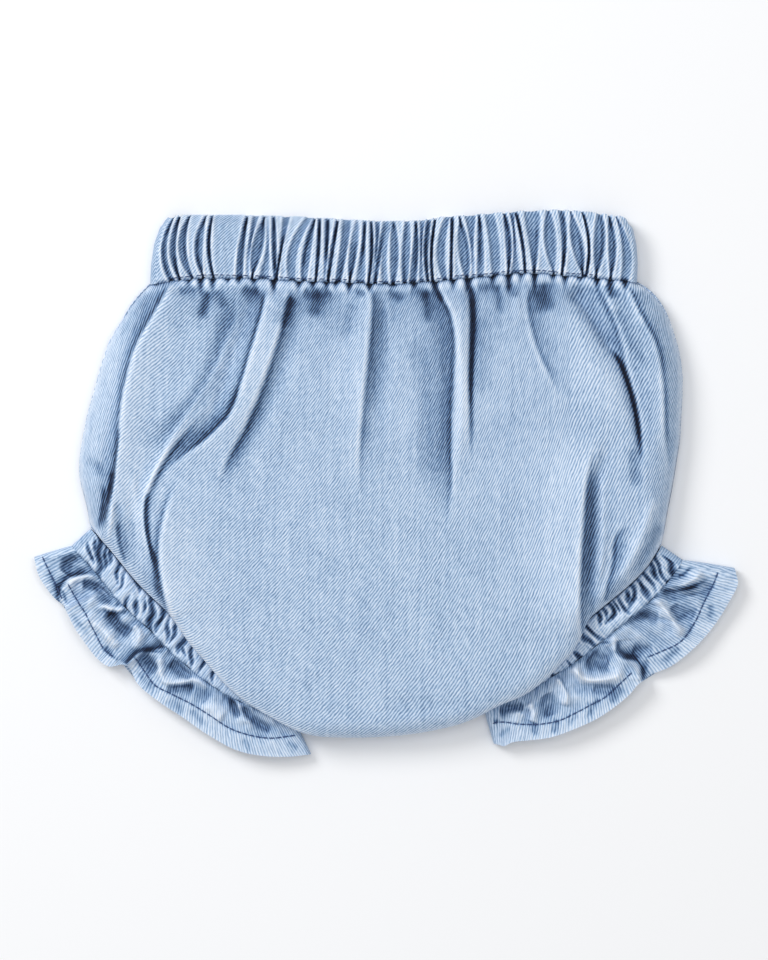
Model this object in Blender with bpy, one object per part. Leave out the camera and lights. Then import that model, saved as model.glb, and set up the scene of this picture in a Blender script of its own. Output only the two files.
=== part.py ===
"""Baby bloomers of light washed denim, laid flat with the waist toward +Y.

Seven sewn pieces, each a closed wall of cloth: the waistband, the front and back panels, and for
each leg a shirred band and a ruffle.  Tables hold places charted on the photo, in its pixels, and
heights above the table in millimetres.  Everything is worked in millimetres and made in metres.
"""
import bmesh
import bpy
import numpy as np

# ---- sizes, millimetres -------------------------------------------------------------------------
BAND_ACROSS = 190.0        # the relaxed waistband laid flat
BAND_ACROSS_PX = 484.0     # the same in the photo
MM_PER_PX = BAND_ACROSS / BAND_ACROSS_PX
PHOTO_MID = (386.0, 483.25)

SEAM_GAP = 0.35            # between two pieces sewn together
FRILL_GAP = 0.4            # between a leg band and its ruffle, whose curved edges run side by side
CLOTH = 1.2                # one layer of denim
CASING = 2.4               # two layers and the wide elastic
LEG_CASING = 1.8           # two layers and the narrow elastic

BAND_HIGH = 10.0           # top of the waistband's upper side
BAND_SWELL = 1.0           # how far a gather stands out of it
BAND_SINK = 0.9            # how far the groove beside it drops
BAND_TURN = (2.4, 1.6)     # how far the band's side folds reach past its flat part, seam and top
BAND_FOLD_WALL = 1.2       # thickness of the band at those folds
LEG_BAND_WIDE = 9.6
LEG_BAND_HIGH = 8.2
LEG_BAND_SWELL = 0.9
LEG_BAND_SINK = 0.4
LEG_SHIRRS = 22            # ridges across one side of a leg band
LEG_TURN = 3.0             # how far a leg band's end folds reach
FRILL_START_HIGH = 7.9     # top of a ruffle where it leaves the band
FRILL_TURN = 2.0           # how far a ruffle's end folds reach

SIDE_SEAM_FRONT = 4.4      # height of the side seam, front cloth
SIDE_SEAM_BACK = 4.0       # and back cloth
SIDE_CURL = 3.6            # radius of the back cloth's turn up to the side seam

# ---- outlines, photo pixels ---------------------------------------------------------------------
WAIST_TOP = (              # the waistband's upper edge, left to right
    (171, 217.5), (178, 215), (200, 215), (240, 215), (280, 216), (310, 217), (340, 219), (380, 221),
    (400, 221), (420, 220), (440, 217), (480, 214), (520, 211), (560, 209.5), (590, 212), (620, 216),
    (626, 219))
WAIST_SEAM = (             # its lower edge, where the body is sewn on
    (150, 283), (172, 280), (200, 277), (240, 277), (270, 278), (300, 280), (340, 281), (380, 283),
    (400, 283), (420, 281), (440, 280), (460, 277), (480, 276), (520, 272), (540, 272), (560, 274),
    (600, 277), (637, 281))

BAND_ENDS = (              # share of the band's height, left end x, right end x
    (0.00, 150, 637), (0.30, 151, 638), (0.60, 154, 636.5), (0.85, 160, 633), (1.00, 169, 627))

# Grooves between the waistband's gathers, left to right: x near the top, halfway and near the
# seam, the width at each, and how deep it is at the top and at the seam (1 is the full drop).
GROOVES = (
    (170, 164.5, 169, 2.5, 4.5, 5, 0.7, 0.8),
    (177.5, 173.5, 177.5, 3, 5, 2.5, 1.0, 1.0),
    (187, 183, 189, 3, 7, 4, 0.9, 0.7),
    (203.5, 199, 201.5, 3, 7, 2.5, 0.8, 1.0),
    (211, 209, 212, 2, 3, 2, 1.0, 0.9),
    (246, 242, 240, 2.5, 5, 6, 1.0, 0.9),
    (254.5, 250, 248.5, 4, 1.5, 1, 0.6, 0.0),
    (263, 258, 253.5, 3, 10, 3, 0.9, 0.9),
    (268, 268, 265, 1, 1.5, 7, 0.0, 0.5),
    (274, 274.5, 275, 3, 4, 2, 1.0, 0.6),
    (285.5, 281.5, 277.5, 5, 2, 2, 0.6, 0.8),
    (305, 294, 291.5, 7, 8, 7, 0.5, 0.5),
    (313, 307.5, 304.5, 2.5, 7, 6, 1.0, 0.6),
    (319.5, 318.5, 316.5, 2.5, 3, 2, 1.0, 1.0),
    (327.5, 326.5, 325, 3.5, 3, 1, 0.9, 0.1),
    (336.5, 332.5, 329, 2.5, 3, 2.5, 1.0, 1.0),
    (346.5, 343.5, 339.5, 7, 6.5, 5.5, 0.6, 0.8),
    (356.5, 353.5, 350.5, 3, 6.5, 3, 0.3, 0.9),
    (364.5, 363, 361, 2.5, 4, 7, 0.9, 0.4),
    (371.5, 371.5, 369.5, 2, 3, 2, 1.0, 1.0),
    (377.5, 376, 372.8, 3, 1, 1, 0.6, 0.0),
    (385, 380, 376, 5, 4, 3, 0.6, 0.8),
    (389.5, 384.5, 384.5, 1, 3, 5, 0.1, 0.5),
    (394, 394.5, 393.5, 4, 7.5, 5, 0.7, 0.7),
    (407, 406, 405, 5, 7, 5, 0.6, 0.7),
    (416, 415.5, 413.5, 2.5, 5, 6, 1.0, 0.7),
    (422, 421, 421.5, 3, 1, 3, 0.6, 0.3),
    (428, 426, 427, 4, 4, 2.5, 0.8, 1.0),
    (434, 431.5, 432, 2, 2.2, 2.2, 1.0, 1.0),
    (445, 441, 443, 5.5, 7, 5, 0.6, 0.6),
    (452, 451.5, 451, 2.5, 2.2, 2.2, 0.9, 1.0),
    (460.5, 463.5, 466, 2, 10, 6, 0.8, 0.6),
    (470.5, 472, 473, 8, 2, 1, 0.6, 0.0),
    (479.5, 480.5, 480.5, 2.5, 5, 6, 1.0, 0.5),
    (490.5, 494, 495.5, 9, 9, 7.5, 0.5, 0.5),
    (505.5, 508.5, 508.5, 3, 5, 2, 0.9, 0.9),
    (512.5, 514.5, 515, 2.5, 1, 6, 0.6, 0.4),
    (517.5, 522, 524.5, 2.5, 2.5, 2, 1.0, 1.0),
    (532, 533.5, 534, 14, 9, 3.5, 0.5, 0.9),
    (548.5, 550, 552.5, 6, 11, 3, 0.6, 0.6),
    (562, 564, 562.5, 5, 4, 2, 0.8, 1.0),
    (572, 577, 581.5, 3, 11, 3, 0.6, 0.8),
    (584.5, 588.5, 587, 2, 2, 2, 1.0, 1.0),
    (599.5, 599, 596.5, 7, 10, 3, 0.7, 0.9),
    (610, 612, 611, 3, 7, 2.5, 0.8, 0.8),
    (619, 626, 625.5, 2.5, 8, 8, 0.6, 0.5),
)
GROOVE_HEIGHTS = (0.12, 0.50, 0.88)      # shares of the band's height for seam, halfway and top

# The body's lower edge as seen, left side seam to right side seam.  Columns: the edge x, y; the
# hidden seam x, y; height at the edge; height of the tuck under it; height where the wall ends.
LOWER_EDGE = (
    (89, 521, 91, 528, 4.9, 4.7, 4.4),
    (100, 537.5, 100, 537.5, 9.6, 8.9, 6.4),
    (111, 550, 111, 550, 10.0, 9.2, 6.4),
    (121.5, 563, 121.5, 563, 10.0, 9.2, 6.4),
    (132, 576, 132, 576, 10.2, 9.4, 6.4),
    (143, 588, 143, 588, 10.4, 9.6, 6.4),
    (155.5, 600, 155.5, 600, 10.6, 9.8, 6.4),
    (168, 612, 168.5, 611.5, 11.4, 10.2, 6.4),
    (179, 627, 181, 624.5, 12.2, 10.4, 6.4),
    (190, 643, 194, 637.5, 12.6, 10.4, 6.4),
    (201, 655.5, 208, 649.5, 12.6, 10.4, 6.4),
    (215, 672, 222, 660.5, 12.6, 10.4, 6.4),
    (231, 689, 238, 671, 12.6, 10.4, 6.4),
    (250, 704, 256, 680, 12.6, 10.4, 6.4),
    (270, 716, 275, 688, 12.6, 10.4, 6.4),
    (289, 726.5, 292, 694, 12.4, 10.4, 6.4),
    (305, 733, 304, 698, 12.0, 10.2, 4.6),
    (320, 736, 316, 709, 11.0, 8.8, 4.4),
    (340, 737, 336, 720, 9.8, 6.4, 4.4),
    (370, 737, 370, 726, 9.4, 5.8, 4.4),
    (400, 735, 402, 724, 9.4, 5.8, 4.4),
    (436, 729.5, 434, 717, 9.8, 6.4, 4.4),
    (461, 723, 456, 705, 11.0, 8.8, 4.4),
    (477, 716.5, 474, 680, 12.0, 10.2, 4.6),
    (500, 704.5, 494, 673, 12.6, 10.4, 6.4),
    (524, 694.5, 516, 665, 12.6, 10.4, 6.4),
    (545, 679, 535, 656, 12.6, 10.4, 6.4),
    (561, 663, 550, 647, 12.6, 10.4, 6.4),
    (574, 649, 564, 637.5, 13.0, 10.4, 6.4),
    (581, 635, 577, 627.5, 12.8, 10.2, 6.4),
    (589.5, 618, 589.5, 617.5, 11.4, 9.8, 6.4),
    (601, 608, 601, 608, 10.4, 9.6, 6.4),
    (612, 599, 612, 599, 10.2, 9.4, 6.4),
    (623.5, 589.5, 623.5, 589.5, 10.0, 9.2, 6.4),
    (634, 580, 634, 580, 10.0, 9.2, 6.4),
    (644, 569.5, 644, 569.5, 10.0, 9.2, 6.4),
    (653, 557.5, 653, 557.5, 9.6, 8.9, 6.4),
    (663, 538, 661, 545, 4.9, 4.7, 4.4),
)
LEFT_LEG_ROWS = (0, 16)    # the rows of LOWER_EDGE whose seam runs round each leg, side to crotch
RIGHT_LEG_ROWS = (37, 23)
CROTCH_ROWS = (16, 23)
CROTCH_TURN = 0.0105       # share of the lower edge over which a leg band's crotch end turns

# The creases the cloth hangs by, waist to lower edge, with the mesh columns up to each from the last.
GUIDES = (
    ("left side", 0, ((150, 285), (143, 292), (133, 304), (122, 322), (112, 338), (103, 362), (95, 390),
                      (88, 415), (83, 440), (80, 462), (80, 476), (82, 488), (85, 499), (87.5, 510),
                      (89, 521))),
    ("left outer fold", 5, ((172, 281), (160, 305), (145, 335), (132, 365), (125, 395), (121, 425),
                            (118, 455), (117, 480), (113, 500), (110, 525), (109, 548))),
    ("left long fold", 7, ((268, 278), (262, 305), (252, 335), (240, 370), (228, 400), (212, 428),
                           (190, 450), (168, 470), (154, 488), (148, 505), (148, 530), (152, 550),
                           (158, 570), (163, 590), (168, 611))),
    ("second fold", 4, ((289, 280), (285, 310), (278, 335), (268, 365), (258, 390), (247, 415),
                        (235, 440), (222, 470), (212, 510), (208, 560), (208, 610), (212, 650),
                        (215, 672))),
    ("middle fold", 8, ((370, 283), (371, 300), (369, 325), (366, 355), (363, 390), (361, 420),
                        (359, 450), (360, 520), (362, 600), (366, 680), (370, 737))),
    ("bright fold", 6, ((436, 280), (442, 305), (450, 330), (456, 360), (458, 420), (456, 500),
                        (450, 600), (441, 680), (436, 729))),
    ("thin fold", 3, ((468, 277), (474, 330), (474, 370), (474, 430), (474, 520), (474, 620),
                      (475, 690), (477, 716))),
    ("right long fold", 8, ((540, 272), (560, 320), (580, 370), (594, 410), (600, 440), (590, 470),
                            (585, 500), (583, 530), (581, 560), (580, 600), (581, 636))),
    ("crevice", 4, ((566, 275), (590, 315), (605, 340), (618, 360), (625, 375), (632, 400), (637, 420),
                    (640, 445), (637, 475), (628, 510), (618, 545), (612, 575), (612, 599))),
    ("right outer fold", 4, ((628, 280), (635, 300), (648, 325), (658, 350), (664, 380), (667, 420),
                             (667, 450), (665, 480), (658, 515), (650, 545), (645, 570))),
    ("right side", 4, ((637, 283), (645, 288), (655, 297), (665, 312), (672, 330), (678, 350),
                       (682, 375), (682, 400), (681, 420), (680, 440), (677, 460), (672, 490),
                       (668, 510), (663, 538))),
)
BACK_GUIDES = (("left side", 0), ("left long fold", 11), ("middle fold", 11), ("right long fold", 11),
               ("right side", 11))

# How high the laid cloth stands: photo y, height of the body's upper face.
LOFT = ((283, 9.4), (300, 11.4), (335, 13.4), (400, 14.8), (500, 15.6), (620, 16.2), (740, 16.2))
# How far in from the side the cloth keeps curving down: share of the side's length, millimetres.
SIDE_ROUND = ((0.0, 5.0), (0.15, 10.0), (0.4, 14.0), (0.75, 14.0), (1.0, 8.0))
LOWER_ROUND = 7.0

# Folds of the front panel: rise, reach to the photo's left and right, the dip beside it on the
# left and right, the shares of its length over which it starts and dies away, and its path.
FOLDS = (
    ("left outer fold", 2.2, 1.8, 9.0, 1.2, 0.0, 0.05, 0.10,
     ((172, 283), (160, 305), (145, 335), (132, 365), (125, 395), (121, 425), (118, 455), (117, 480),
      (112, 500), (105, 535))),
    ("left long fold", 2.2, 1.9, 8.0, 1.1, 0.0, 0.06, 0.35,
     ((268, 285), (262, 305), (252, 335), (240, 370), (232, 395), (224, 415), (213, 434), (196, 452))),
    ("left puff edge", 2.8, 2.0, 15.0, 1.2, 0.0, 0.40, 0.00,
     ((172, 452), (158, 470), (150, 488), (147, 505), (148, 530), (152, 550), (158, 570), (163, 590),
      (168, 612))),
    ("soft fold", 1.1, 5.0, 5.0, 0.0, 0.0, 0.20, 0.30,
     ((245, 300), (235, 330), (215, 370), (195, 400), (175, 425), (160, 450))),
    ("second fold", 1.7, 7.0, 2.6, 0.0, 0.8, 0.08, 0.45,
     ((289, 285), (285, 310), (278, 335), (268, 365), (258, 390), (247, 415), (238, 435), (226, 460))),
    ("middle fold", 1.7, 7.0, 3.0, 0.0, 0.8, 0.08, 0.50,
     ((370, 285), (371, 300), (369, 325), (366, 355), (363, 390), (361, 420), (359, 450), (361, 480))),
    ("bright fold", 1.7, 2.4, 6.5, 1.2, 0.0, 0.12, 0.45,
     ((443, 285), (450, 310), (457, 335), (461, 365), (462, 410), (460, 480))),
    ("thin fold", -1.1, 1.8, 1.8, 0.0, 0.0, 0.05, 0.50,
     ((468, 284), (474, 330), (473, 370), (471, 430))),
    ("faint fold", -0.5, 6.0, 6.0, 0.0, 0.0, 0.20, 0.50,
     ((530, 290), (535, 340), (545, 390))),
    ("crest over the crevice", 1.2, 9.0, 4.0, 0.0, 0.0, 0.10, 0.35,
     ((548, 288), (575, 330), (597, 370), (612, 405), (618, 440))),
    ("crevice", -2.0, 2.6, 5.5, 0.0, 0.0, 0.08, 0.25,
     ((566, 284), (590, 315), (605, 340), (618, 360), (625, 375), (632, 400), (637, 420), (640, 445),
      (640, 470))),
    ("right soft fold", 1.0, 3.0, 3.0, 0.0, 0.0, 0.15, 0.40,
     ((598, 284), (610, 305), (622, 325), (633, 345), (644, 368), (650, 390))),
    ("right outer fold", 1.4, 3.5, 3.5, 0.0, 0.0, 0.08, 0.25,
     ((628, 284), (636, 302), (648, 325), (658, 350), (664, 380), (667, 420), (667, 450))),
    ("right puff edge", 2.8, 15.0, 2.0, 0.0, 1.2, 0.35, 0.15,
     ((603, 425), (597, 447), (589, 473), (585, 500), (583, 530), (581, 560), (580, 600), (581, 637))),
    ("right leg hollow", -0.9, 2.6, 2.6, 0.0, 0.0, 0.30, 0.20,
     ((615, 525), (610, 560), (600, 592))),
    ("right leg crest", 0.9, 2.6, 2.6, 0.0, 0.0, 0.30, 0.20,
     ((642, 535), (632, 560), (620, 587))),
)

# A ruffle's hem from the side to the crotch: share of the way round the band, x, y, height of the
# upper cloth's face.  A low row beside a high one is one fold lying over the next.
LEFT_HEM = (
    (0.000, 35, 562, 5.2), (0.040, 38, 574, 5.4), (0.090, 45, 586.5, 5.0), (0.140, 55, 599, 4.2),
    (0.185, 64.5, 607, 3.4), (0.197, 66, 609.5, 8.6), (0.240, 74, 626, 8.0), (0.300, 86, 644, 6.8),
    (0.360, 98, 659, 6.8), (0.410, 110, 666.5, 7.8), (0.455, 126, 665, 8.6), (0.467, 129, 668, 3.5),
    (0.510, 137, 683, 5.4), (0.570, 157, 700, 7.4), (0.640, 182, 716.5, 8.0), (0.720, 208, 734.5, 8.0),
    (0.800, 237, 750, 8.0), (0.880, 266, 756, 7.4), (0.950, 291, 756.5, 6.2), (1.000, 306, 755, 5.2),
)
RIGHT_HEM = (
    (0.000, 736, 573, 5.2), (0.050, 738, 583, 5.6), (0.120, 729, 602, 6.0), (0.200, 715, 624.5, 5.2),
    (0.290, 693, 649, 6.2), (0.360, 670, 667, 4.8), (0.415, 648, 677, 3.5), (0.427, 642, 681, 8.4),
    (0.480, 628, 695.5, 8.2), (0.560, 601, 716, 7.9), (0.640, 575, 728.5, 8.0), (0.720, 551, 737, 7.8),
    (0.800, 530, 740, 7.6), (0.880, 513, 742, 7.0), (0.950, 504, 746, 6.0), (1.000, 499, 745, 5.2),
)

# Folds of the ruffles' cloth: rise (a hollow below 0), reach to each side, and its path.
LEFT_FRILL_FOLDS = (
    (-1.6, 3.0, ((76, 554), (70, 563), (66, 574))),
    (1.0, 2.2, ((100, 579), (86, 576), (74, 578), (65, 588))),
    (-1.7, 2.4, ((80, 585), (94, 589), (110, 597))),
    (0.9, 2.2, ((86, 600), (102, 608), (116, 611))),
    (-1.8, 3.0, ((108, 614), (118, 622), (130, 634))),
    (1.0, 3.0, ((88, 612), (102, 630), (118, 646))),
    (1.1, 2.4, ((134, 622), (138, 636), (134, 652))),
    (-1.6, 2.8, ((142, 654), (150, 663), (158, 675))),
    (0.9, 2.2, ((160, 656), (163, 670), (165, 684))),
    (-1.4, 2.6, ((170, 660), (182, 668), (192, 680))),
    (0.9, 2.2, ((164, 682), (190, 682), (214, 682))),
    (-1.2, 2.8, ((166, 685), (180, 688), (192, 691))),
    (0.9, 2.4, ((202, 700), (214, 708), (226, 718))),
    (-1.3, 2.0, ((228, 694), (234, 706), (242, 720))),
    (1.1, 2.2, ((232, 696), (242, 710), (250, 726))),
    (-1.3, 2.8, ((242, 704), (254, 718), (272, 728))),
)
RIGHT_FRILL_FOLDS = (
    (1.3, 2.4, ((662, 577), (670, 584), (684, 586), (697, 578), (704, 568))),
    (-1.3, 2.4, ((654, 584), (668, 591), (690, 593), (714, 580))),
    (1.4, 2.6, ((642, 601), (656, 603), (668, 611), (677, 624), (684, 638))),
    (-1.2, 2.8, ((672, 603), (684, 612), (697, 618))),
    (-1.4, 3.2, ((632, 612), (646, 615), (660, 622))),
    (-0.9, 2.6, ((630, 650), (640, 652), (652, 650))),
    (1.2, 2.2, ((588, 641), (600, 643), (612, 641), (616, 652))),
    (-2.0, 3.6, ((590, 654), (600, 661), (612, 664))),
    (1.4, 2.4, ((570, 664), (580, 673), (596, 680), (614, 679), (628, 668))),
    (-1.0, 2.4, ((590, 690), (602, 691), (614, 690))),
    (1.2, 2.2, ((556, 676), (562, 690), (564, 706))),
    (-1.4, 2.8, ((544, 694), (550, 706), (552, 718))),
    (1.0, 2.2, ((526, 701), (534, 710), (534, 722))),
    (-1.3, 2.6, ((500, 712), (512, 709), (524, 705))),
)
FRILL_LOWEST = 3.0         # the upper cloth's face never sinks below this

# ---- colour -------------------------------------------------------------------------------------
DENIM_LIGHT = (158, 185, 217)
DENIM_WORN = (184, 204, 229)
DENIM_DEEP = (142, 171, 207)


def linear(colour):
    """Screen colour, 0 to 255, to the light values a material takes"""
    share = np.asarray(colour, float) / 255
    return tuple(np.where(share <= 0.04045, share / 12.92, ((share + 0.055) / 1.055) ** 2.4))


# ---- lines --------------------------------------------------------------------------------------
def to_mm(points):
    """Photo pixels to millimetres from the middle of the garment, the waist toward +y"""
    points = np.asarray(points, float)
    x = (points[..., 0] - PHOTO_MID[0]) * MM_PER_PX
    y = (PHOTO_MID[1] - points[..., 1]) * MM_PER_PX
    return np.stack([x, y], -1)


def stations(rows):
    """Share of the line's length reached at each row, by its first two columns"""
    steps = np.hypot(*np.diff(rows[:, :2], axis=0).T)
    return np.concatenate([[0.0], np.cumsum(steps)]) / steps.sum()


def soft(rows, at, known=None):
    """Rows of the soft curve through a table's rows, at shares `at` of its length"""
    rows = np.asarray(rows, float)
    at = np.asarray(at, float)
    known = stations(rows) if known is None else np.asarray(known, float)
    slope = np.gradient(rows, known, axis=0)
    k = np.clip(np.searchsorted(known, at, side="right") - 1, 0, len(known) - 2)
    span = (known[k + 1] - known[k])[:, None]
    s = (at - known[k])[:, None] / span
    start = (2 * s ** 3 - 3 * s ** 2 + 1) * rows[k] + (s ** 3 - 2 * s ** 2 + s) * span * slope[k]
    end = (3 * s ** 2 - 2 * s ** 3) * rows[k + 1] + (s ** 3 - s ** 2) * span * slope[k + 1]
    return start + end


def cornered(rows, at, known):
    """The soft curve, with a corner left where each leg's seam meets the crotch"""
    breaks = [0, *CROTCH_ROWS, len(rows) - 1]
    at = np.asarray(at, float)
    found = np.empty((len(at), rows.shape[1]))
    for first, last in zip(breaks[:-1], breaks[1:]):
        here = (at >= known[first] - 1e-9) & (at <= known[last] + 1e-9)
        found[here] = soft(rows[first:last + 1], at[here], known[first:last + 1])
    return found


def beside(line, distance, even=35):
    """The line moved sideways, to the right of its direction of travel, evened over nearby points"""
    along = np.pad(np.gradient(line, axis=0), ((even, even), (0, 0)), mode="edge")
    sums = np.cumsum(np.vstack([[[0.0, 0.0]], along]), axis=0)
    along = sums[2 * even + 1:] - sums[:-2 * even - 1]
    along /= np.hypot(along[:, 0], along[:, 1])[:, None]
    return line + distance * np.stack([along[:, 1], -along[:, 0]], -1)


def ease(share):
    share = np.clip(share, 0, 1)
    return share * share * (3 - 2 * share)


# ---- walls --------------------------------------------------------------------------------------
def facing(grid, ring):
    """Unit normals of a grid of points, pointing up on its first columns' middle"""
    if ring:
        along = np.roll(grid, -1, axis=0) - np.roll(grid, 1, axis=0)
    else:
        along = np.gradient(grid, axis=0)
    across = np.gradient(grid, axis=1)
    normal = np.cross(along, across)
    return normal / np.maximum(np.linalg.norm(normal, axis=2, keepdims=True), 1e-9)


def solid(name, outer, inner, ring, colour):
    """One closed wall of cloth from its outer and its inner points"""
    count, rows, inner_rows = outer.shape[0], outer.shape[1], inner.shape[1]
    body = bmesh.new()
    out = [[body.verts.new(point * 0.001) for point in column] for column in outer]
    ins = [[body.verts.new(point * 0.001) for point in column] for column in inner]
    spans = count if ring else count - 1
    for i in range(spans):
        n = (i + 1) % count
        for j in range(rows - 1):
            body.faces.new((out[i][j], out[n][j], out[n][j + 1], out[i][j + 1]))
        for j in range(inner_rows - 1):
            body.faces.new((ins[i][j + 1], ins[n][j + 1], ins[n][j], ins[i][j]))
        body.faces.new((out[n][0], out[i][0], ins[i][0], ins[n][0]))
        body.faces.new((out[i][-1], out[n][-1], ins[n][-1], ins[i][-1]))
    if not ring:
        for j in range(rows - 1):
            body.faces.new((out[0][j], out[0][j + 1], ins[0][j + 1], ins[0][j]))
            body.faces.new((out[-1][j + 1], out[-1][j], ins[-1][j], ins[-1][j + 1]))
    bmesh.ops.triangulate(body, faces=body.faces[:])
    if body.calc_volume(signed=True) < 0:
        bmesh.ops.reverse_faces(body, faces=body.faces[:])
    mesh = bpy.data.meshes.new(name)
    body.to_mesh(mesh)
    body.free()
    made = bpy.data.objects.new(name, mesh)
    bpy.context.scene.collection.objects.link(made)
    cloth = bpy.data.materials.new(name + "_denim")
    cloth.use_nodes = True
    surface = cloth.node_tree.nodes["Principled BSDF"]
    surface.inputs["Base Color"].default_value = (*linear(colour), 1.0)
    surface.inputs["Roughness"].default_value = 0.92
    surface.inputs["Metallic"].default_value = 0.0
    mesh.materials.append(cloth)
    return made


def loop(strip, high, low, reach, turns, under):
    """A flattened loop of cloth: the strip's upper side, a turn, its lower side and a turn back"""
    columns = [np.dstack([strip, high])]
    for end, before, order in ((-1, -2, 1), (0, 1, -1)):
        away = strip[end] - strip[before]
        away /= np.hypot(away[:, 0], away[:, 1])[:, None]
        middle = (high[end] + low) / 2
        half = (high[end] - low) / 2
        turn = []
        for angle in np.linspace(0, np.pi, turns + 2)[1:-1]:
            plan = strip[end] + away * reach * np.sin(angle)
            turn.append(np.column_stack([plan, middle + half * np.cos(angle)]))
        turn = np.array(turn)[::order]
        if order == 1:
            columns.append(turn)
            back = np.array([np.column_stack([strip[i], np.full(strip.shape[1], low)]) for i in under])
            columns.append(back)
        else:
            columns.append(turn)
    return np.concatenate(columns)


# ---- the waistband ------------------------------------------------------------------------------
def band_across(share):
    """Left and right end of the waistband's flat part at a share of its height, in pixels"""
    share_known, left, right = np.array(BAND_ENDS, float).T
    turn = np.interp(share, (0, 1), BAND_TURN) / MM_PER_PX
    return np.interp(share, share_known, left) + turn, np.interp(share, share_known, right) - turn


def band_columns(share):
    """Places and drops of the band's gathers at a share of its height: x in pixels, drop 0 to 1"""
    rows = np.array(GROOVES, float)
    low, middle, top = GROOVE_HEIGHTS
    places, drops = [], []
    left, right = band_across(share)
    edge = left
    for x_top, x_mid, x_low, w_top, w_mid, w_low, d_top, d_low in rows:
        x = np.interp(share, (low, middle, top), (x_low, x_mid, x_top))
        half = max(np.interp(share, (low, middle, top), (w_low, w_mid, w_top)), 1.6) / 2
        drop = np.interp(share, (low, middle, top), (d_low, max(d_low, d_top), d_top))
        start = max(x - half, edge + 0.6)
        places += [(edge + start) / 2, start, (start + max(x + half, start + 1.2)) / 2]
        drops += [0.0, 0.45, 1.0]
        edge = max(x + half, start + 1.2)
        places.append(edge)
        drops.append(0.45)
        drops[-3:] = [0.45 * drop, drop, 0.45 * drop]
    places = [left] + places + [(edge + right) / 2, right]
    drops = [0.3] + drops + [0.0, 0.3]
    return np.array(places), np.array(drops)


def waistband():
    shares = np.array([row[0] for row in BAND_ENDS])
    seam = to_mm(WAIST_SEAM)
    top = to_mm(WAIST_TOP)
    strip, drop = [], []
    for share in shares:
        places, drops = band_columns(share)
        x = to_mm(np.column_stack([places, places]))[:, 0]
        y = (1 - share) * np.interp(x, seam[:, 0], seam[:, 1]) + share * np.interp(x, top[:, 0], top[:, 1])
        strip.append(np.column_stack([x, y]))
        drop.append(drops)
    strip = np.array(strip).transpose(1, 0, 2)
    drop = np.array(drop).T
    high = BAND_HIGH + BAND_SWELL - drop * (BAND_SWELL + BAND_SINK)
    high[0] = high[-1] = BAND_HIGH
    under = np.linspace(len(strip) - 1, 0, 22).round().astype(int)
    reach = np.interp(shares, (0, 1), BAND_TURN)[:, None]
    outer = loop(strip, high, 0.0, reach, 3, under)
    flat = np.full(high.shape, BAND_HIGH - CASING)
    inner = loop(strip, flat, CASING, reach - BAND_FOLD_WALL, 3, under)
    solid("waistband", outer, inner[:, (0, -1)], True, DENIM_WORN)


# ---- the body -----------------------------------------------------------------------------------
def guide_lines(names):
    known = {name: points for name, _, points in GUIDES}
    return [to_mm(known[name]) for name in names]


def spread(counts):
    """Column places along the guides, closer together at both sides"""
    at = [0.0]
    for k, count in enumerate(counts):
        steps = np.arange(1, count + 1) / count
        if k == 0:
            steps = steps ** 2
        if k == len(counts) - 1:
            steps = 1 - (1 - steps) ** 2
        at += list(k + steps)
    return np.array(at)


def corner_stations(known):
    """Where each leg band's crotch end starts to turn, and where it meets the crotch"""
    left, right = known[list(CROTCH_ROWS)]
    return left - CROTCH_TURN, left, right, right + CROTCH_TURN


def panel_plan(lines, at, rows_at, lower):
    """A panel's plan points and each column's place along the lower edge"""
    seam = to_mm(WAIST_SEAM) - np.array([0.0, SEAM_GAP])
    fine = np.linspace(0, 1, 1500)
    seam_fine = soft(seam, fine)
    edge = np.array(LOWER_EDGE, float)
    edge_mm = to_mm(edge)
    edge_known = stations(edge_mm)
    edge_fine = soft(edge_mm, fine, edge_known)
    last = len(lines) - 1
    starts = [fine[np.argmin(np.hypot(*(seam_fine - line[0]).T))] for line in lines]
    ends = [fine[np.argmin(np.hypot(*(edge_fine - line[-1]).T))] for line in lines]
    starts[0] = ends[0] = 0.0
    starts[last] = ends[last] = 1.0
    start_at = np.interp(at, range(last + 1), starts)
    end_at = np.interp(at, range(last + 1), ends)
    turn_left, left, right, turn_right = corner_stations(edge_known)
    for corner, turn, beyond in ((left, turn_left, -1), (right, turn_right, 1)):
        column = np.argmin(np.abs(end_at - corner))
        end_at[column] = corner
        end_at[column + beyond] = turn
    hung = np.array([soft(line, rows_at) for line in lines])
    k = np.clip(at.astype(int), 0, last - 1)
    share = (at - k)[:, None, None]
    plan = (1 - share) * hung[k] + share * hung[k + 1]
    miss_top = soft(seam, start_at) - plan[:, 0]
    miss_low = lower(end_at, edge_known) - plan[:, -1]
    down = rows_at[None, :, None]
    return plan + (1 - down) * miss_top[:, None] + down * miss_low[:, None], end_at


def fold_height(plan, folds):
    """Sum of the folds' rises at each plan point"""
    height = np.zeros(plan.shape[:-1])
    for _, rise, left, right, dip_left, dip_right, starts, dies, points in folds:
        path = soft(to_mm(points), np.linspace(0, 1, 90))
        way = np.gradient(path, axis=0)
        gap = plan[..., None, :] - path
        far = np.hypot(gap[..., 0], gap[..., 1])
        near = far.argmin(-1)
        distance = np.take_along_axis(far, near[..., None], -1)[..., 0]
        step = np.take_along_axis(gap, near[..., None, None], -2)[..., 0, :]
        right_of = way[near][..., 0] * step[..., 1] - way[near][..., 1] * step[..., 0] > 0
        reach = np.where(right_of, right, left)
        dip = np.where(right_of, dip_right, dip_left)
        along = near / 89
        fade = ease(along / max(starts, 1e-6)) * ease((1 - along) / max(dies, 1e-6))
        beyond = (near == 0) | (near == 89)
        if dies == 0.0:
            beyond = near == 0
        fade = np.where(beyond, 0.0, fade)
        shape = np.exp(-(distance / reach) ** 2) * rise
        shape -= dip * np.exp(-((distance - 2.2 * reach) / (1.3 * reach)) ** 2)
        height += shape * fade
    return height


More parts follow.
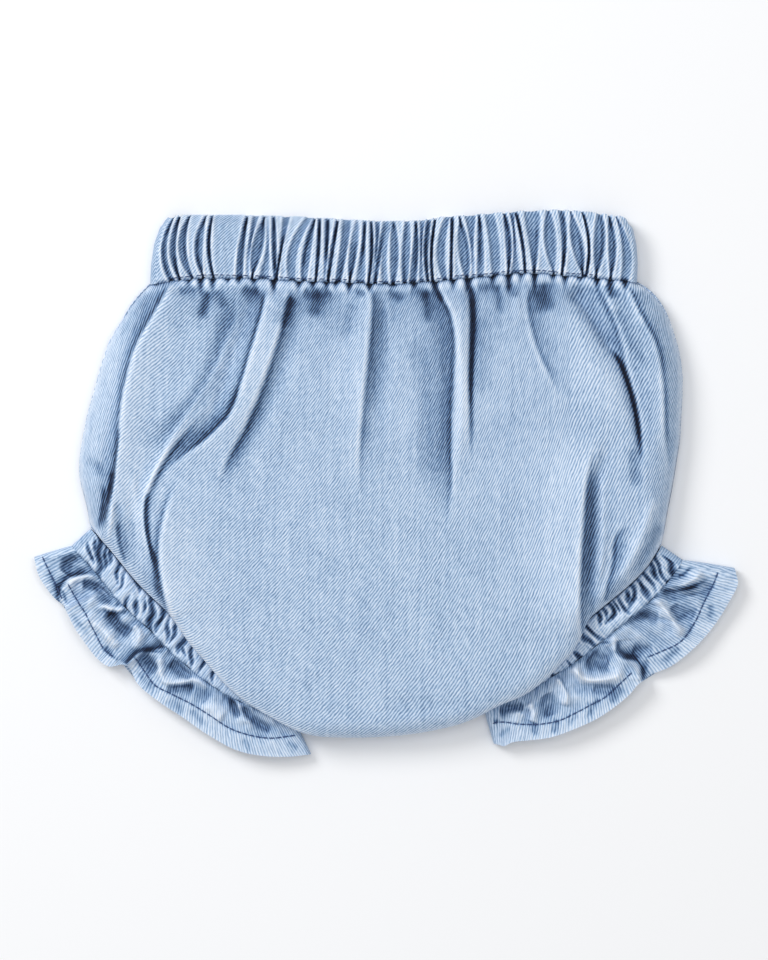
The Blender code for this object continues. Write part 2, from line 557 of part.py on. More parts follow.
def from_side(plan):
    """Distance in from the side seams, and how far in the cloth keeps curving there"""
    best = np.full(plan.shape[:-1], 1e9)
    round_here = np.full(plan.shape[:-1], 10.0)
    share, reach = np.array(SIDE_ROUND).T
    for name, corner in (("left side", LOWER_EDGE[0][2:4]), ("right side", LOWER_EDGE[-1][2:4])):
        at = np.linspace(0, 1, 160)
        path = soft(np.vstack([guide_lines([name])[0], to_mm(corner)]), at)
        far = np.hypot(*np.moveaxis(plan[..., None, :] - path, -1, 0))
        near = far.argmin(-1)
        distance = far.min(-1)
        closer = distance < best
        best = np.where(closer, distance, best)
        round_here = np.where(closer, np.interp(at[near], share, reach), round_here)
    return best, round_here


def round_off(distance, reach):
    """Quarter round from 0 at the edge to 1 a reach away from it"""
    return np.sqrt(np.clip(1 - (1 - np.clip(distance / reach, 0, 1)) ** 2, 0, 1))


def front_panel():
    counts = [count for _, count, _ in GUIDES[1:]]
    at = spread(counts)
    turn = np.array([0.935, 0.965, 0.985, 1.0])
    rows_at = np.concatenate([[0.0, 0.018, 0.045, 0.085, 0.13], np.linspace(0.13, 0.90, 13)[1:], turn])
    edge = np.array(LOWER_EDGE, float)
    edge_known = stations(to_mm(edge))
    lines = guide_lines([name for name, _, _ in GUIDES])
    plan, end_at = panel_plan(lines, at, rows_at, lambda at, known: soft(to_mm(edge), at, known))
    photo_y = PHOTO_MID[1] - plan[..., 1] / MM_PER_PX
    loft_y, loft_z = np.array(LOFT).T
    share = (photo_y.clip(loft_y[0], loft_y[-1]) - loft_y[0]) / (loft_y[-1] - loft_y[0])
    known = (loft_y - loft_y[0]) / (loft_y[-1] - loft_y[0])
    high = soft(loft_z[:, None], share.ravel(), known)[:, 0].reshape(share.shape)
    high = high + fold_height(plan, FOLDS)
    side, side_reach = from_side(plan)
    high = SIDE_SEAM_FRONT + (high - SIDE_SEAM_FRONT) * round_off(side, side_reach)
    seen = plan[:, -1]
    seam = cornered(to_mm(edge[:, 2:4]), end_at, edge_known)
    out, tuck, end = soft(edge[:, 4:], end_at, edge_known).T
    edge_line = soft(to_mm(edge), np.linspace(0, 1, 500), edge_known)
    edge_high = soft(edge[:, 4:5], np.linspace(0, 1, 500), edge_known)[:, 0]
    far = np.hypot(*np.moveaxis(plan[..., None, :] - edge_line, -1, 0))
    near = far.argmin(-1)
    drop = round_off(far.min(-1), LOWER_ROUND)
    over = np.clip(high - edge_high[near], 0, None)
    high = high - over * (1 - drop)
    high[0] = high[-1] = SIDE_SEAM_FRONT
    high[:, -1] = out
    outer = np.dstack([plan, high])
    lean = ease((out - end - 0.7) / 1.5)[:, None]
    skirt = []
    for across, even, under, down in ((0.08, 0.2, 0.48, 0.0), (0.55, 0.4, 1.0, 0.0), (1.0, 0.6, 1.0, 0.1),
                                      (1.0, 0.8, 1.0, 0.7), (1.0, 1.0, 1.0, 1.0)):
        share = lean * across + (1 - lean) * even
        place = seen + (seam - seen) * share
        skirt.append(np.column_stack([place, out + (tuck - out) * under + (end - tuck) * down]))
    outer = np.concatenate([outer, np.array(skirt).transpose(1, 0, 2)], axis=1)
    normal = facing(outer, False)
    if normal[len(outer) // 2, 8, 2] < 0:
        normal = -normal
    hangs = np.hypot(*(seam - seen).T)
    under = len(skirt)
    normal[:, -under - 1:, 2] *= ease((hangs - 1.0) / 3.0)[:, None]
    normal[:, -under, 2] = normal[:, -under, 2].clip(-0.4, 0)
    for rim in (normal[0], normal[-1], normal[:, -1], normal[:, -under - 1]):
        rim[:, 2] = 0
    normal[:, 0, 1] = 0
    level = np.sqrt(1 - normal[..., 2:] ** 2)
    across = np.maximum(np.linalg.norm(normal[..., :2], axis=2, keepdims=True), 1e-9)
    normal[..., :2] *= level / across
    solid("front_panel", outer, outer - CLOTH * normal, False, DENIM_LIGHT)


def back_panel():
    names = [name for name, _ in BACK_GUIDES]
    counts = [count for _, count in BACK_GUIDES[1:]]
    at = spread(counts)
    rows_at = np.concatenate([np.linspace(0, 0.93, 8), [0.965, 0.985, 0.995, 1.0]])
    edge = np.array(LOWER_EDGE, float)
    edge_known = stations(to_mm(edge))
    seam = to_mm(edge[:, 2:4])
    plan, end_at = panel_plan(guide_lines(names), at, rows_at,
                              lambda at, known: cornered(seam, at, known))
    side, _ = from_side(plan)
    curl = SIDE_SEAM_BACK * (1 - round_curl(side))
    crotch = corner_stations(edge_known)[::3]
    into = np.minimum(end_at - crotch[0], crotch[1] - end_at) / CROTCH_TURN
    at_crotch = ease(into)[:, None]
    low_line = cornered(seam, np.linspace(crotch[0], crotch[1], 120), edge_known)
    far = np.hypot(*np.moveaxis(plan[..., None, :] - low_line, -1, 0)).min(-1)
    far[:, -1] = 0.0
    high = np.maximum(curl, SIDE_SEAM_BACK * (1 - round_curl(far)) * at_crotch)
    high[0] = high[-1] = SIDE_SEAM_BACK
    outer = np.dstack([plan, high])
    normal = facing(outer, False)
    if normal[len(outer) // 2, 6, 2] > 0:
        normal = -normal
    normal[0, :, 2] = normal[-1, :, 2] = 0
    rim = normal[:, -1]
    keep = np.maximum(at_crotch, side[:, -1:] < SIDE_CURL)
    rim *= np.concatenate([keep, keep, 1 - at_crotch], axis=1)
    rim[(0, -1), :] = normal[(0, -1), -2]
    normal /= np.maximum(np.linalg.norm(normal, axis=2, keepdims=True), 1e-9)
    solid("back_panel", outer, outer - CLOTH * normal, False, DENIM_DEEP)


def round_curl(distance):
    return round_off(distance, SIDE_CURL)


# ---- the legs -----------------------------------------------------------------------------------
def leg_seam(rows):
    """The body's seam round one leg, side to crotch"""
    edge = np.array(LOWER_EDGE, float)
    known = stations(to_mm(edge))
    at = np.linspace(known[rows[0]], known[rows[1]], 400)
    first, last = sorted(rows)
    return soft(to_mm(edge[first:last + 1, 2:4]), at, known[first:last + 1])


def leg_lines(rows, outward, at):
    """The band's body edge and the ruffle's start, as lines along the leg"""
    fine = leg_seam(rows)
    share = stations(fine)
    lines = []
    for distance in (SEAM_GAP, SEAM_GAP + LEG_BAND_WIDE, SEAM_GAP + LEG_BAND_WIDE + FRILL_GAP):
        moved = beside(fine, outward * distance)
        lines.append(np.column_stack([np.interp(at, share, moved[:, 0]), np.interp(at, share, moved[:, 1])]))
    return lines


def leg_band(name, rows, outward):
    seam_length = np.hypot(*np.diff(leg_seam(rows), axis=0).T).sum()
    ends = LEG_TURN / seam_length
    count = 2 * LEG_SHIRRS + 1
    even = np.linspace(0, 1, count)
    even[1:-1] += 0.25 / count * np.sin(2.4 * np.arange(1, count - 1))
    at = ends + even * (1 - 2 * ends)
    body_side, frill_side, _ = leg_lines(rows, outward, at)
    across = np.array([0.0, 0.35, 0.65, 1.0])
    strip = body_side[:, None] + (frill_side - body_side)[:, None] * across[None, :, None]
    ridge = np.where(np.arange(count) % 2 == 1, LEG_BAND_SWELL, -LEG_BAND_SINK)
    ridge[0] = ridge[-1] = 0.0
    high = LEG_BAND_HIGH + ridge[:, None] * np.ones((1, len(across)))
    under = np.linspace(count - 1, 0, 14).round().astype(int)
    outer = loop(strip, high, 0.0, LEG_TURN, 3, under)
    flat = np.full(high.shape, LEG_BAND_HIGH - LEG_CASING)
    inner = loop(strip, flat, LEG_CASING, LEG_TURN - LEG_CASING, 3, under)
    solid(name, outer, inner[:, (0, -1)], True, DENIM_WORN)


def leg_ruffle(name, rows, outward, hem_rows, frill_folds):
    hem = np.array(hem_rows, float)
    at = [0.0]
    for before, after in zip(hem[:-1, 0], hem[1:, 0]):
        pieces = 1 if after - before < 0.03 else 2 if after - before < 0.046 else 3
        at += list(before + (after - before) * np.arange(1, pieces + 1) / pieces)
    at = np.array(at)
    hem_line = soft(to_mm(hem[:, 1:3]), at, hem[:, 0])
    hem_high = np.interp(at, hem[:, 0], hem[:, 3])
    seam_length = np.hypot(*np.diff(leg_seam(rows), axis=0).T).sum()
    ends = LEG_TURN / seam_length
    _, _, start = leg_lines(rows, outward, ends + at * (1 - 2 * ends))
    across = np.array([0.0, 0.14, 0.28, 0.43, 0.58, 0.73, 0.87, 1.0])
    strip = start[:, None] + (hem_line - start)[:, None] * across[None, :, None]
    turn = LEG_TURN + (FRILL_TURN - LEG_TURN) * across
    down = across[None, :] ** 0.8
    high = FRILL_START_HIGH + (hem_high[:, None] - FRILL_START_HIGH) * down
    folds = [("", rise, reach, reach, 0.0, 0.0, 0.12, 0.12, path) for rise, reach, path in frill_folds]
    inland = ease(at / 0.03) * ease((1 - at) / 0.03)
    high = high + fold_height(strip, folds) * ease(across / 0.25) * inland[:, None]
    high = np.maximum(high, FRILL_LOWEST)
    under = np.linspace(len(at) - 1, 0, 18).round().astype(int)
    outer = loop(strip, high, 0.0, turn[:, None], 3, under)
    normal = facing(outer, True)
    if normal[len(at) // 2, 2, 2] < 0:
        normal = -normal
    away = outer[:, 1] - outer[:, 0]
    away[:, 2] = 0
    away /= np.linalg.norm(away, axis=1, keepdims=True)
    normal[:, 0] -= (normal[:, 0] * away).sum(1, keepdims=True) * away
    normal[:, 0] /= np.linalg.norm(normal[:, 0], axis=1, keepdims=True)
    solid(name, outer, outer - CLOTH * normal, True, DENIM_LIGHT)


for old in list(bpy.data.objects):
    bpy.data.objects.remove(old)
waistband()
front_panel()
back_panel()
leg_band("leg_band_left", LEFT_LEG_ROWS, 1.0)
leg_band("leg_band_right", RIGHT_LEG_ROWS, -1.0)
leg_ruffle("leg_ruffle_left", LEFT_LEG_ROWS, 1.0, LEFT_HEM, LEFT_FRILL_FOLDS)
leg_ruffle("leg_ruffle_right", RIGHT_LEG_ROWS, -1.0, RIGHT_HEM, RIGHT_FRILL_FOLDS)
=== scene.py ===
"""Baby bloomers of light washed denim, laid flat on a pale table with the waist toward +Y.

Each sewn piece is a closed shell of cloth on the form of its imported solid, at the real size, with
its gathers, folds and topstitching.  Places are charted on the photo in its pixels, heights above
the table are in millimetres, and everything is made in metres.
"""

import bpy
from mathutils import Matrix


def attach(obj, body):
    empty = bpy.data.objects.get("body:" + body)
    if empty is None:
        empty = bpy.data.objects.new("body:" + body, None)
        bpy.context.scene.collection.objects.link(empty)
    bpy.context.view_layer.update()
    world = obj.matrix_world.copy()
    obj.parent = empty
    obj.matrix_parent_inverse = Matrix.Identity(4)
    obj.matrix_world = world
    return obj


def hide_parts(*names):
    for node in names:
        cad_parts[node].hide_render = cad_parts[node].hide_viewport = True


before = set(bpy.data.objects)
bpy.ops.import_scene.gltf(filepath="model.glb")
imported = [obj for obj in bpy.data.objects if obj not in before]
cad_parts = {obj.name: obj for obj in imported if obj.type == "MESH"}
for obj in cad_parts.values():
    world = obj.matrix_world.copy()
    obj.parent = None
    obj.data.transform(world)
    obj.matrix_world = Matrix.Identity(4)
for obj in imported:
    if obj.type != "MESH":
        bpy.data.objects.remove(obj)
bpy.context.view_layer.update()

import math

import bpy
import numpy as np
from mathutils import Vector
from mathutils.bvhtree import BVHTree

# ---- sizes, millimetres -------------------------------------------------------------------------
BAND_ACROSS = 190.0        # the relaxed waistband laid flat
BAND_ACROSS_PX = 484.0     # the same in the photo
MM_PER_PX = BAND_ACROSS / BAND_ACROSS_PX
PHOTO_MID = (386.0, 483.25)  # the middle of the garment in the photo, pixels
PHOTO_SIZE = (768, 960)
MM = 0.001                 # metres

SEAM_GAP = 0.35            # between two pieces sewn together
FRILL_GAP = 0.4            # between a leg band and its ruffle, whose curved edges run side by side
CLOTH = 1.2                # one layer of denim
CASING = 2.4               # two layers and the wide elastic
LEG_CASING = 1.8           # two layers and the narrow elastic

BAND_HIGH = 10.0           # top of the waistband's upper side
BAND_SWELL = 1.0           # how far a gather stands out of it
BAND_EASE = 0.25           # how far the whole of its upper side is eased down
BAND_CREST = 0.55          # rise of the crest beside a groove
BAND_VALLEY = 1.7          # drop of a groove
BAND_SLIT = 1.4            # and of the slit in it
BAND_SCALLOP = (0.65, 0.45)  # how far a groove and its slit draw the top edge down
BAND_TOP_ROUND = (2.4, 2.0)  # drop at the top edge, and over what distance it rounds off
BAND_SEAM_ROUND = 1.6      # the distance at the waist seam
BAND_LOWEST = 7.9          # the upper side's outer face never sinks below this
BAND_INNER_HIGH = 7.3      # the upper side's inner face
BAND_TURN = (2.4, 1.6)     # how far the band's side folds reach past its flat part, seam and top
BAND_FOLD_WALL = 1.2       # thickness of the band at those folds
LEG_BAND_WIDE = 9.6
LEG_BAND_HIGH = 8.2
LEG_BAND_SWELL = 0.9
LEG_CREASE_DROP = 1.1
LEG_VALLEY_DROP = 1.5      # of the wider valley round a crease
LEG_SHIRR_DROP = 0.4       # of the fine shirring between
LEG_PUFF = 0.7             # rise halfway across the band
LEG_BAND_LOWEST = 6.75     # its upper side's outer face never sinks below this
LEG_BAND_INNER_HIGH = 6.1  # its upper side's inner face
LEG_TURN = 3.0             # how far a leg band's end folds reach
FRILL_START_HIGH = 7.9     # top of a ruffle where it leaves the band
FRILL_TURN = 2.0           # how far a ruffle's end folds reach
FRILL_LOWEST = 2.3         # its upper cloth's outer face never sinks below this
FRILL_CLOTH = 0.9          # thickness of a ruffle's lower side

SIDE_SEAM_FRONT = 4.4      # height of the side seam, front cloth
SIDE_SEAM_BACK = 4.0       # and back cloth
SIDE_CURL = 3.6            # radius of the back cloth's turn up to the side seam

# ---- outlines, photo pixels ---------------------------------------------------------------------
WAIST_TOP = (              # the waistband's upper edge, left to right
    (171, 217.5), (178, 215), (200, 215), (240, 215), (280, 216), (310, 217), (340, 219), (380, 221),
    (400, 221), (420, 220), (440, 217), (480, 214), (520, 211), (560, 209.5), (590, 212), (620, 216),
    (626, 219))
WAIST_SEAM = (             # its lower edge, where the body is sewn on
    (150, 283), (172, 280), (200, 277), (240, 277), (270, 278), (300, 280), (340, 281), (380, 283),
    (400, 283), (420, 281), (440, 280), (460, 277), (480, 276), (520, 272), (540, 272), (560, 274),
    (600, 277), (637, 281))

BAND_ENDS = (              # share of the band's height, left end x, right end x
    (0.00, 150, 637), (0.30, 151, 638), (0.60, 154, 636.5), (0.85, 160, 633), (1.00, 169, 627))

# Grooves between the waistband's gathers, left to right: x near the top, halfway and near the
# seam, the width at each, and how deep it is at the top and at the seam (1 is the full drop).
GROOVES = (
    (170, 164.5, 169, 2.5, 4.5, 5, 0.7, 0.8), (177.5, 173.5, 177.5, 3, 5, 2.5, 1.0, 1.0),
    (187, 183, 189, 3, 7, 4, 0.9, 0.7), (203.5, 199, 201.5, 3, 7, 2.5, 0.8, 1.0),
    (211, 209, 212, 2, 3, 2, 1.0, 0.9), (246, 242, 240, 2.5, 5, 6, 1.0, 0.9),
    (254.5, 250, 248.5, 4, 1.5, 1, 0.6, 0.0), (263, 258, 253.5, 3, 10, 3, 0.9, 0.9),
    (268, 268, 265, 1, 1.5, 7, 0.0, 0.5), (274, 274.5, 275, 3, 4, 2, 1.0, 0.6),
    (285.5, 281.5, 277.5, 5, 2, 2, 0.6, 0.8), (305, 294, 291.5, 7, 8, 7, 0.5, 0.5),
    (313, 307.5, 304.5, 2.5, 7, 6, 1.0, 0.6), (319.5, 318.5, 316.5, 2.5, 3, 2, 1.0, 1.0),
    (327.5, 326.5, 325, 3.5, 3, 1, 0.9, 0.1), (336.5, 332.5, 329, 2.5, 3, 2.5, 1.0, 1.0),
    (346.5, 343.5, 339.5, 7, 6.5, 5.5, 0.6, 0.8), (356.5, 353.5, 350.5, 3, 6.5, 3, 0.3, 0.9),
    (364.5, 363, 361, 2.5, 4, 7, 0.9, 0.4), (371.5, 371.5, 369.5, 2, 3, 2, 1.0, 1.0),
    (377.5, 376, 372.8, 3, 1, 1, 0.6, 0.0), (385, 380, 376, 5, 4, 3, 0.6, 0.8),
    (389.5, 384.5, 384.5, 1, 3, 5, 0.1, 0.5), (394, 394.5, 393.5, 4, 7.5, 5, 0.7, 0.7),
    (407, 406, 405, 5, 7, 5, 0.6, 0.7), (416, 415.5, 413.5, 2.5, 5, 6, 1.0, 0.7),
    (422, 421, 421.5, 3, 1, 3, 0.6, 0.3), (428, 426, 427, 4, 4, 2.5, 0.8, 1.0),
    (434, 431.5, 432, 2, 2.2, 2.2, 1.0, 1.0), (445, 441, 443, 5.5, 7, 5, 0.6, 0.6),
    (452, 451.5, 451, 2.5, 2.2, 2.2, 0.9, 1.0), (460.5, 463.5, 466, 2, 10, 6, 0.8, 0.6),
    (470.5, 472, 473, 8, 2, 1, 0.6, 0.0), (479.5, 480.5, 480.5, 2.5, 5, 6, 1.0, 0.5),
    (490.5, 494, 495.5, 9, 9, 7.5, 0.5, 0.5), (505.5, 508.5, 508.5, 3, 5, 2, 0.9, 0.9),
    (512.5, 514.5, 515, 2.5, 1, 6, 0.6, 0.4), (517.5, 522, 524.5, 2.5, 2.5, 2, 1.0, 1.0),
    (532, 533.5, 534, 14, 9, 3.5, 0.5, 0.9), (548.5, 550, 552.5, 6, 11, 3, 0.6, 0.6),
    (562, 564, 562.5, 5, 4, 2, 0.8, 1.0), (572, 577, 581.5, 3, 11, 3, 0.6, 0.8),
    (584.5, 588.5, 587, 2, 2, 2, 1.0, 1.0), (599.5, 599, 596.5, 7, 10, 3, 0.7, 0.9),
    (610, 612, 611, 3, 7, 2.5, 0.8, 0.8), (619, 626, 625.5, 2.5, 8, 8, 0.6, 0.5),
)
GROOVE_HEIGHTS = (0.12, 0.50, 0.88)      # shares of the band's height for seam, halfway and top

# The body's lower edge as seen, left side seam to right side seam.  Columns: the edge x, y; the
# hidden seam x, y; height at the edge; height of the tuck under it; height where the wall ends.
LOWER_EDGE = (
    (89, 521, 91, 528, 4.9, 4.7, 4.4), (100, 537.5, 100, 537.5, 9.6, 8.9, 6.4),
    (111, 550, 111, 550, 10.0, 9.2, 6.4), (121.5, 563, 121.5, 563, 10.0, 9.2, 6.4),
    (132, 576, 132, 576, 10.2, 9.4, 6.4), (143, 588, 143, 588, 10.4, 9.6, 6.4),
    (155.5, 600, 155.5, 600, 10.6, 9.8, 6.4), (168, 612, 168.5, 611.5, 11.4, 10.2, 6.4),
    (179, 627, 181, 624.5, 12.2, 10.4, 6.4), (190, 643, 194, 637.5, 12.6, 10.4, 6.4),
    (201, 655.5, 208, 649.5, 12.6, 10.4, 6.4), (215, 672, 222, 660.5, 12.6, 10.4, 6.4),
    (231, 689, 238, 671, 12.6, 10.4, 6.4), (250, 704, 256, 680, 12.6, 10.4, 6.4),
    (270, 716, 275, 688, 12.6, 10.4, 6.4), (289, 726.5, 292, 694, 12.4, 10.4, 6.4),
    (305, 733, 304, 698, 12.0, 10.2, 4.6), (320, 736, 316, 709, 11.0, 8.8, 4.4),
    (340, 737, 336, 720, 9.8, 6.4, 4.4), (370, 737, 370, 726, 9.4, 5.8, 4.4),
    (400, 735, 402, 724, 9.4, 5.8, 4.4), (436, 729.5, 434, 717, 9.8, 6.4, 4.4),
    (461, 723, 456, 705, 11.0, 8.8, 4.4), (477, 716.5, 474, 680, 12.0, 10.2, 4.6),
    (500, 704.5, 494, 673, 12.6, 10.4, 6.4), (524, 694.5, 516, 665, 12.6, 10.4, 6.4),
    (545, 679, 535, 656, 12.6, 10.4, 6.4), (561, 663, 550, 647, 12.6, 10.4, 6.4),
    (574, 649, 564, 637.5, 13.0, 10.4, 6.4), (581, 635, 577, 627.5, 12.8, 10.2, 6.4),
    (589.5, 618, 589.5, 617.5, 11.4, 9.8, 6.4), (601, 608, 601, 608, 10.4, 9.6, 6.4),
    (612, 599, 612, 599, 10.2, 9.4, 6.4), (623.5, 589.5, 623.5, 589.5, 10.0, 9.2, 6.4),
    (634, 580, 634, 580, 10.0, 9.2, 6.4), (644, 569.5, 644, 569.5, 10.0, 9.2, 6.4),
    (653, 557.5, 653, 557.5, 9.6, 8.9, 6.4), (663, 538, 661, 545, 4.9, 4.7, 4.4),
)
LEFT_LEG_ROWS = (0, 16)    # the rows of LOWER_EDGE whose seam runs round each leg, side to crotch
RIGHT_LEG_ROWS = (37, 23)
CROTCH_ROWS = (16, 23)
CROTCH_TURN = 0.0105       # share of the lower edge over which a leg band's crotch end turns

# The creases the cloth hangs by, waist to lower edge, with the mesh columns up to each from the last.
GUIDES = (
    ("left side", 0, ((150, 285), (143, 292), (133, 304), (122, 322), (112, 338), (103, 362), (95, 390),
     (88, 415), (83, 440), (80, 462), (80, 476), (82, 488), (85, 499), (87.5, 510), (89, 521))),
    ("left outer fold", 5, ((172, 281), (160, 305), (145, 335), (132, 365), (125, 395), (121, 425),
     (118, 455), (117, 480), (113, 500), (110, 525), (109, 548))),
    ("left long fold", 7, ((268, 278), (262, 305), (252, 335), (240, 370), (228, 400), (212, 428),
     (190, 450), (168, 470), (154, 488), (148, 505), (148, 530), (152, 550), (158, 570), (163, 590),
     (168, 611))),
    ("second fold", 4, ((289, 280), (285, 310), (278, 335), (268, 365), (258, 390), (247, 415), (235, 440),
     (222, 470), (212, 510), (208, 560), (208, 610), (212, 650), (215, 672))),
    ("middle fold", 8, ((370, 283), (371, 300), (369, 325), (366, 355), (363, 390), (361, 420), (359, 450),
     (360, 520), (362, 600), (366, 680), (370, 737))),
    ("bright fold", 6, ((436, 280), (442, 305), (450, 330), (456, 360), (458, 420), (456, 500), (450, 600),
     (441, 680), (436, 729))),
    ("thin fold", 3, ((468, 277), (474, 330), (474, 370), (474, 430), (474, 520), (474, 620), (475, 690),
     (477, 716))),
    ("right long fold", 8, ((540, 272), (560, 320), (580, 370), (594, 410), (600, 440), (590, 470),
     (585, 500), (583, 530), (581, 560), (580, 600), (581, 636))),
    ("crevice", 4, ((566, 275), (590, 315), (605, 340), (618, 360), (625, 375), (632, 400), (637, 420),
     (640, 445), (637, 475), (628, 510), (618, 545), (612, 575), (612, 599))),
    ("right outer fold", 4, ((628, 280), (635, 300), (648, 325), (658, 350), (664, 380), (667, 420),
     (667, 450), (665, 480), (658, 515), (650, 545), (645, 570))),
    ("right side", 4, ((637, 283), (645, 288), (655, 297), (665, 312), (672, 330), (678, 350), (682, 375),
     (682, 400), (681, 420), (680, 440), (677, 460), (672, 490), (668, 510), (663, 538))),
)
BACK_GUIDES = (("left side", 0), ("left long fold", 11), ("middle fold", 11), ("right long fold", 11),
               ("right side", 11))

# How high the laid cloth stands: photo y, height of the body's upper face.
LOFT = ((283, 9.4), (300, 11.4), (335, 13.4), (400, 14.8), (500, 15.6), (620, 16.2), (740, 16.2))
# How far in from the side the cloth keeps curving down: share of the side's length, millimetres.
SIDE_ROUND = ((0.0, 5.0), (0.15, 10.0), (0.4, 14.0), (0.75, 14.0), (1.0, 8.0))
LOWER_ROUND = 7.0

# Folds of the front panel: rise, reach to the photo's left and right, the dip beside it on the
# left and right, the shares of its length over which it starts and dies away, and its path.
FOLDS = (
    ("left outer fold", 2.2, 1.8, 9.0, 1.2, 0.0, 0.05, 0.1, ((172, 283), (160, 305), (145, 335), (132, 365),
     (125, 395), (121, 425), (118, 455), (117, 480), (112, 500), (105, 535))),
    ("left long fold", 2.2, 1.9, 8.0, 1.1, 0.0, 0.06, 0.35, ((268, 285), (262, 305), (252, 335), (240, 370),
     (232, 395), (224, 415), (213, 434), (196, 452))),
    ("left puff edge", 2.8, 2.0, 15.0, 1.2, 0.0, 0.4, 0.0, ((172, 452), (158, 470), (150, 488), (147, 505),
     (148, 530), (152, 550), (158, 570), (163, 590), (168, 612))),
    ("soft fold", 1.1, 5.0, 5.0, 0.0, 0.0, 0.2, 0.3, ((245, 300), (235, 330), (215, 370), (195, 400),
     (175, 425), (160, 450))),
    ("second fold", 1.7, 7.0, 2.6, 0.0, 0.8, 0.08, 0.45, ((289, 285), (285, 310), (278, 335), (268, 365),
     (258, 390), (247, 415), (238, 435), (226, 460))),
    ("middle fold", 1.7, 7.0, 3.0, 0.0, 0.8, 0.08, 0.5, ((370, 285), (371, 300), (369, 325), (366, 355),
     (363, 390), (361, 420), (359, 450), (361, 480))),
    ("bright fold", 1.7, 2.4, 6.5, 1.2, 0.0, 0.12, 0.45, ((443, 285), (450, 310), (457, 335), (461, 365),
     (462, 410), (460, 480))),
    ("thin fold", -1.1, 1.8, 1.8, 0.0, 0.0, 0.05, 0.5, ((468, 284), (474, 330), (473, 370), (471, 430))),
    ("faint fold", -0.5, 6.0, 6.0, 0.0, 0.0, 0.2, 0.5, ((530, 290), (535, 340), (545, 390))),
    ("crest over the crevice", 1.2, 9.0, 4.0, 0.0, 0.0, 0.1, 0.35, ((548, 288), (575, 330), (597, 370),
     (612, 405), (618, 440))),
    ("crevice", -2.0, 2.6, 5.5, 0.0, 0.0, 0.08, 0.25, ((566, 284), (590, 315), (605, 340), (618, 360),
     (625, 375), (632, 400), (637, 420), (640, 445), (640, 470))),
    ("right soft fold", 1.0, 3.0, 3.0, 0.0, 0.0, 0.15, 0.4, ((598, 284), (610, 305), (622, 325), (633, 345),
     (644, 368), (650, 390))),
    ("right outer fold", 1.4, 3.5, 3.5, 0.0, 0.0, 0.08, 0.25, ((628, 284), (636, 302), (648, 325),
     (658, 350), (664, 380), (667, 420), (667, 450))),
    ("right puff edge", 2.8, 15.0, 2.0, 0.0, 1.2, 0.35, 0.15, ((603, 425), (597, 447), (589, 473),
     (585, 500), (583, 530), (581, 560), (580, 600), (581, 637))),
    ("right leg hollow", -0.9, 2.6, 2.6, 0.0, 0.0, 0.3, 0.2, ((615, 525), (610, 560), (600, 592))),
    ("right leg crest", 0.9, 2.6, 2.6, 0.0, 0.0, 0.3, 0.2, ((642, 535), (632, 560), (620, 587))),
)

# A ruffle's hem from the side to the crotch: share of the way round the band, x, y, height of the
# upper cloth's face.  A low row beside a high one is one fold lying over the next.
LEFT_HEM = (
    (0.000, 35, 562, 5.2), (0.040, 38, 574, 5.4), (0.090, 45, 586.5, 5.0), (0.140, 55, 599, 4.2),
    (0.185, 64.5, 607, 3.4), (0.197, 66, 609.5, 8.6), (0.240, 74, 626, 8.0), (0.300, 86, 644, 6.8),
    (0.360, 98, 659, 6.8), (0.410, 110, 666.5, 7.8), (0.455, 126, 665, 8.6), (0.467, 129, 668, 3.5),
    (0.510, 137, 683, 5.4), (0.570, 157, 700, 7.4), (0.640, 182, 716.5, 8.0), (0.720, 208, 734.5, 8.0),
    (0.800, 237, 750, 8.0), (0.880, 266, 756, 7.4), (0.950, 291, 756.5, 6.2), (1.000, 306, 755, 5.2),
)
RIGHT_HEM = (
    (0.000, 736, 573, 5.2), (0.050, 738, 583, 5.6), (0.120, 729, 602, 6.0), (0.200, 715, 624.5, 5.2),
    (0.290, 693, 649, 6.2), (0.360, 670, 667, 4.8), (0.415, 648, 677, 3.5), (0.427, 642, 681, 8.4),
    (0.480, 628, 695.5, 8.2), (0.560, 601, 716, 7.9), (0.640, 575, 728.5, 8.0), (0.720, 551, 737, 7.8),
    (0.800, 530, 740, 7.6), (0.880, 513, 742, 7.0), (0.950, 504, 746, 6.0), (1.000, 499, 745, 5.2),
)

# Folds of the ruffles' cloth: rise (a hollow below 0), reach to each side, and its path.
LEFT_FRILL_FOLDS = (
    (-1.6, 3.0, ((76, 554), (70, 563), (66, 574))),
    (1.0, 2.2, ((100, 579), (86, 576), (74, 578), (65, 588))),
    (-1.7, 2.4, ((80, 585), (94, 589), (110, 597))), (0.9, 2.2, ((86, 600), (102, 608), (116, 611))),
    (-1.8, 3.0, ((108, 614), (118, 622), (130, 634))), (1.0, 3.0, ((88, 612), (102, 630), (118, 646))),
    (1.1, 2.4, ((134, 622), (138, 636), (134, 652))), (-1.6, 2.8, ((142, 654), (150, 663), (158, 675))),
    (0.9, 2.2, ((160, 656), (163, 670), (165, 684))), (-1.4, 2.6, ((170, 660), (182, 668), (192, 680))),
    (0.9, 2.2, ((164, 682), (190, 682), (214, 682))), (-1.2, 2.8, ((166, 685), (180, 688), (192, 691))),
    (0.9, 2.4, ((202, 700), (214, 708), (226, 718))), (-1.3, 2.0, ((228, 694), (234, 706), (242, 720))),
    (1.1, 2.2, ((232, 696), (242, 710), (250, 726))), (-1.3, 2.8, ((242, 704), (254, 718), (272, 728))),
)
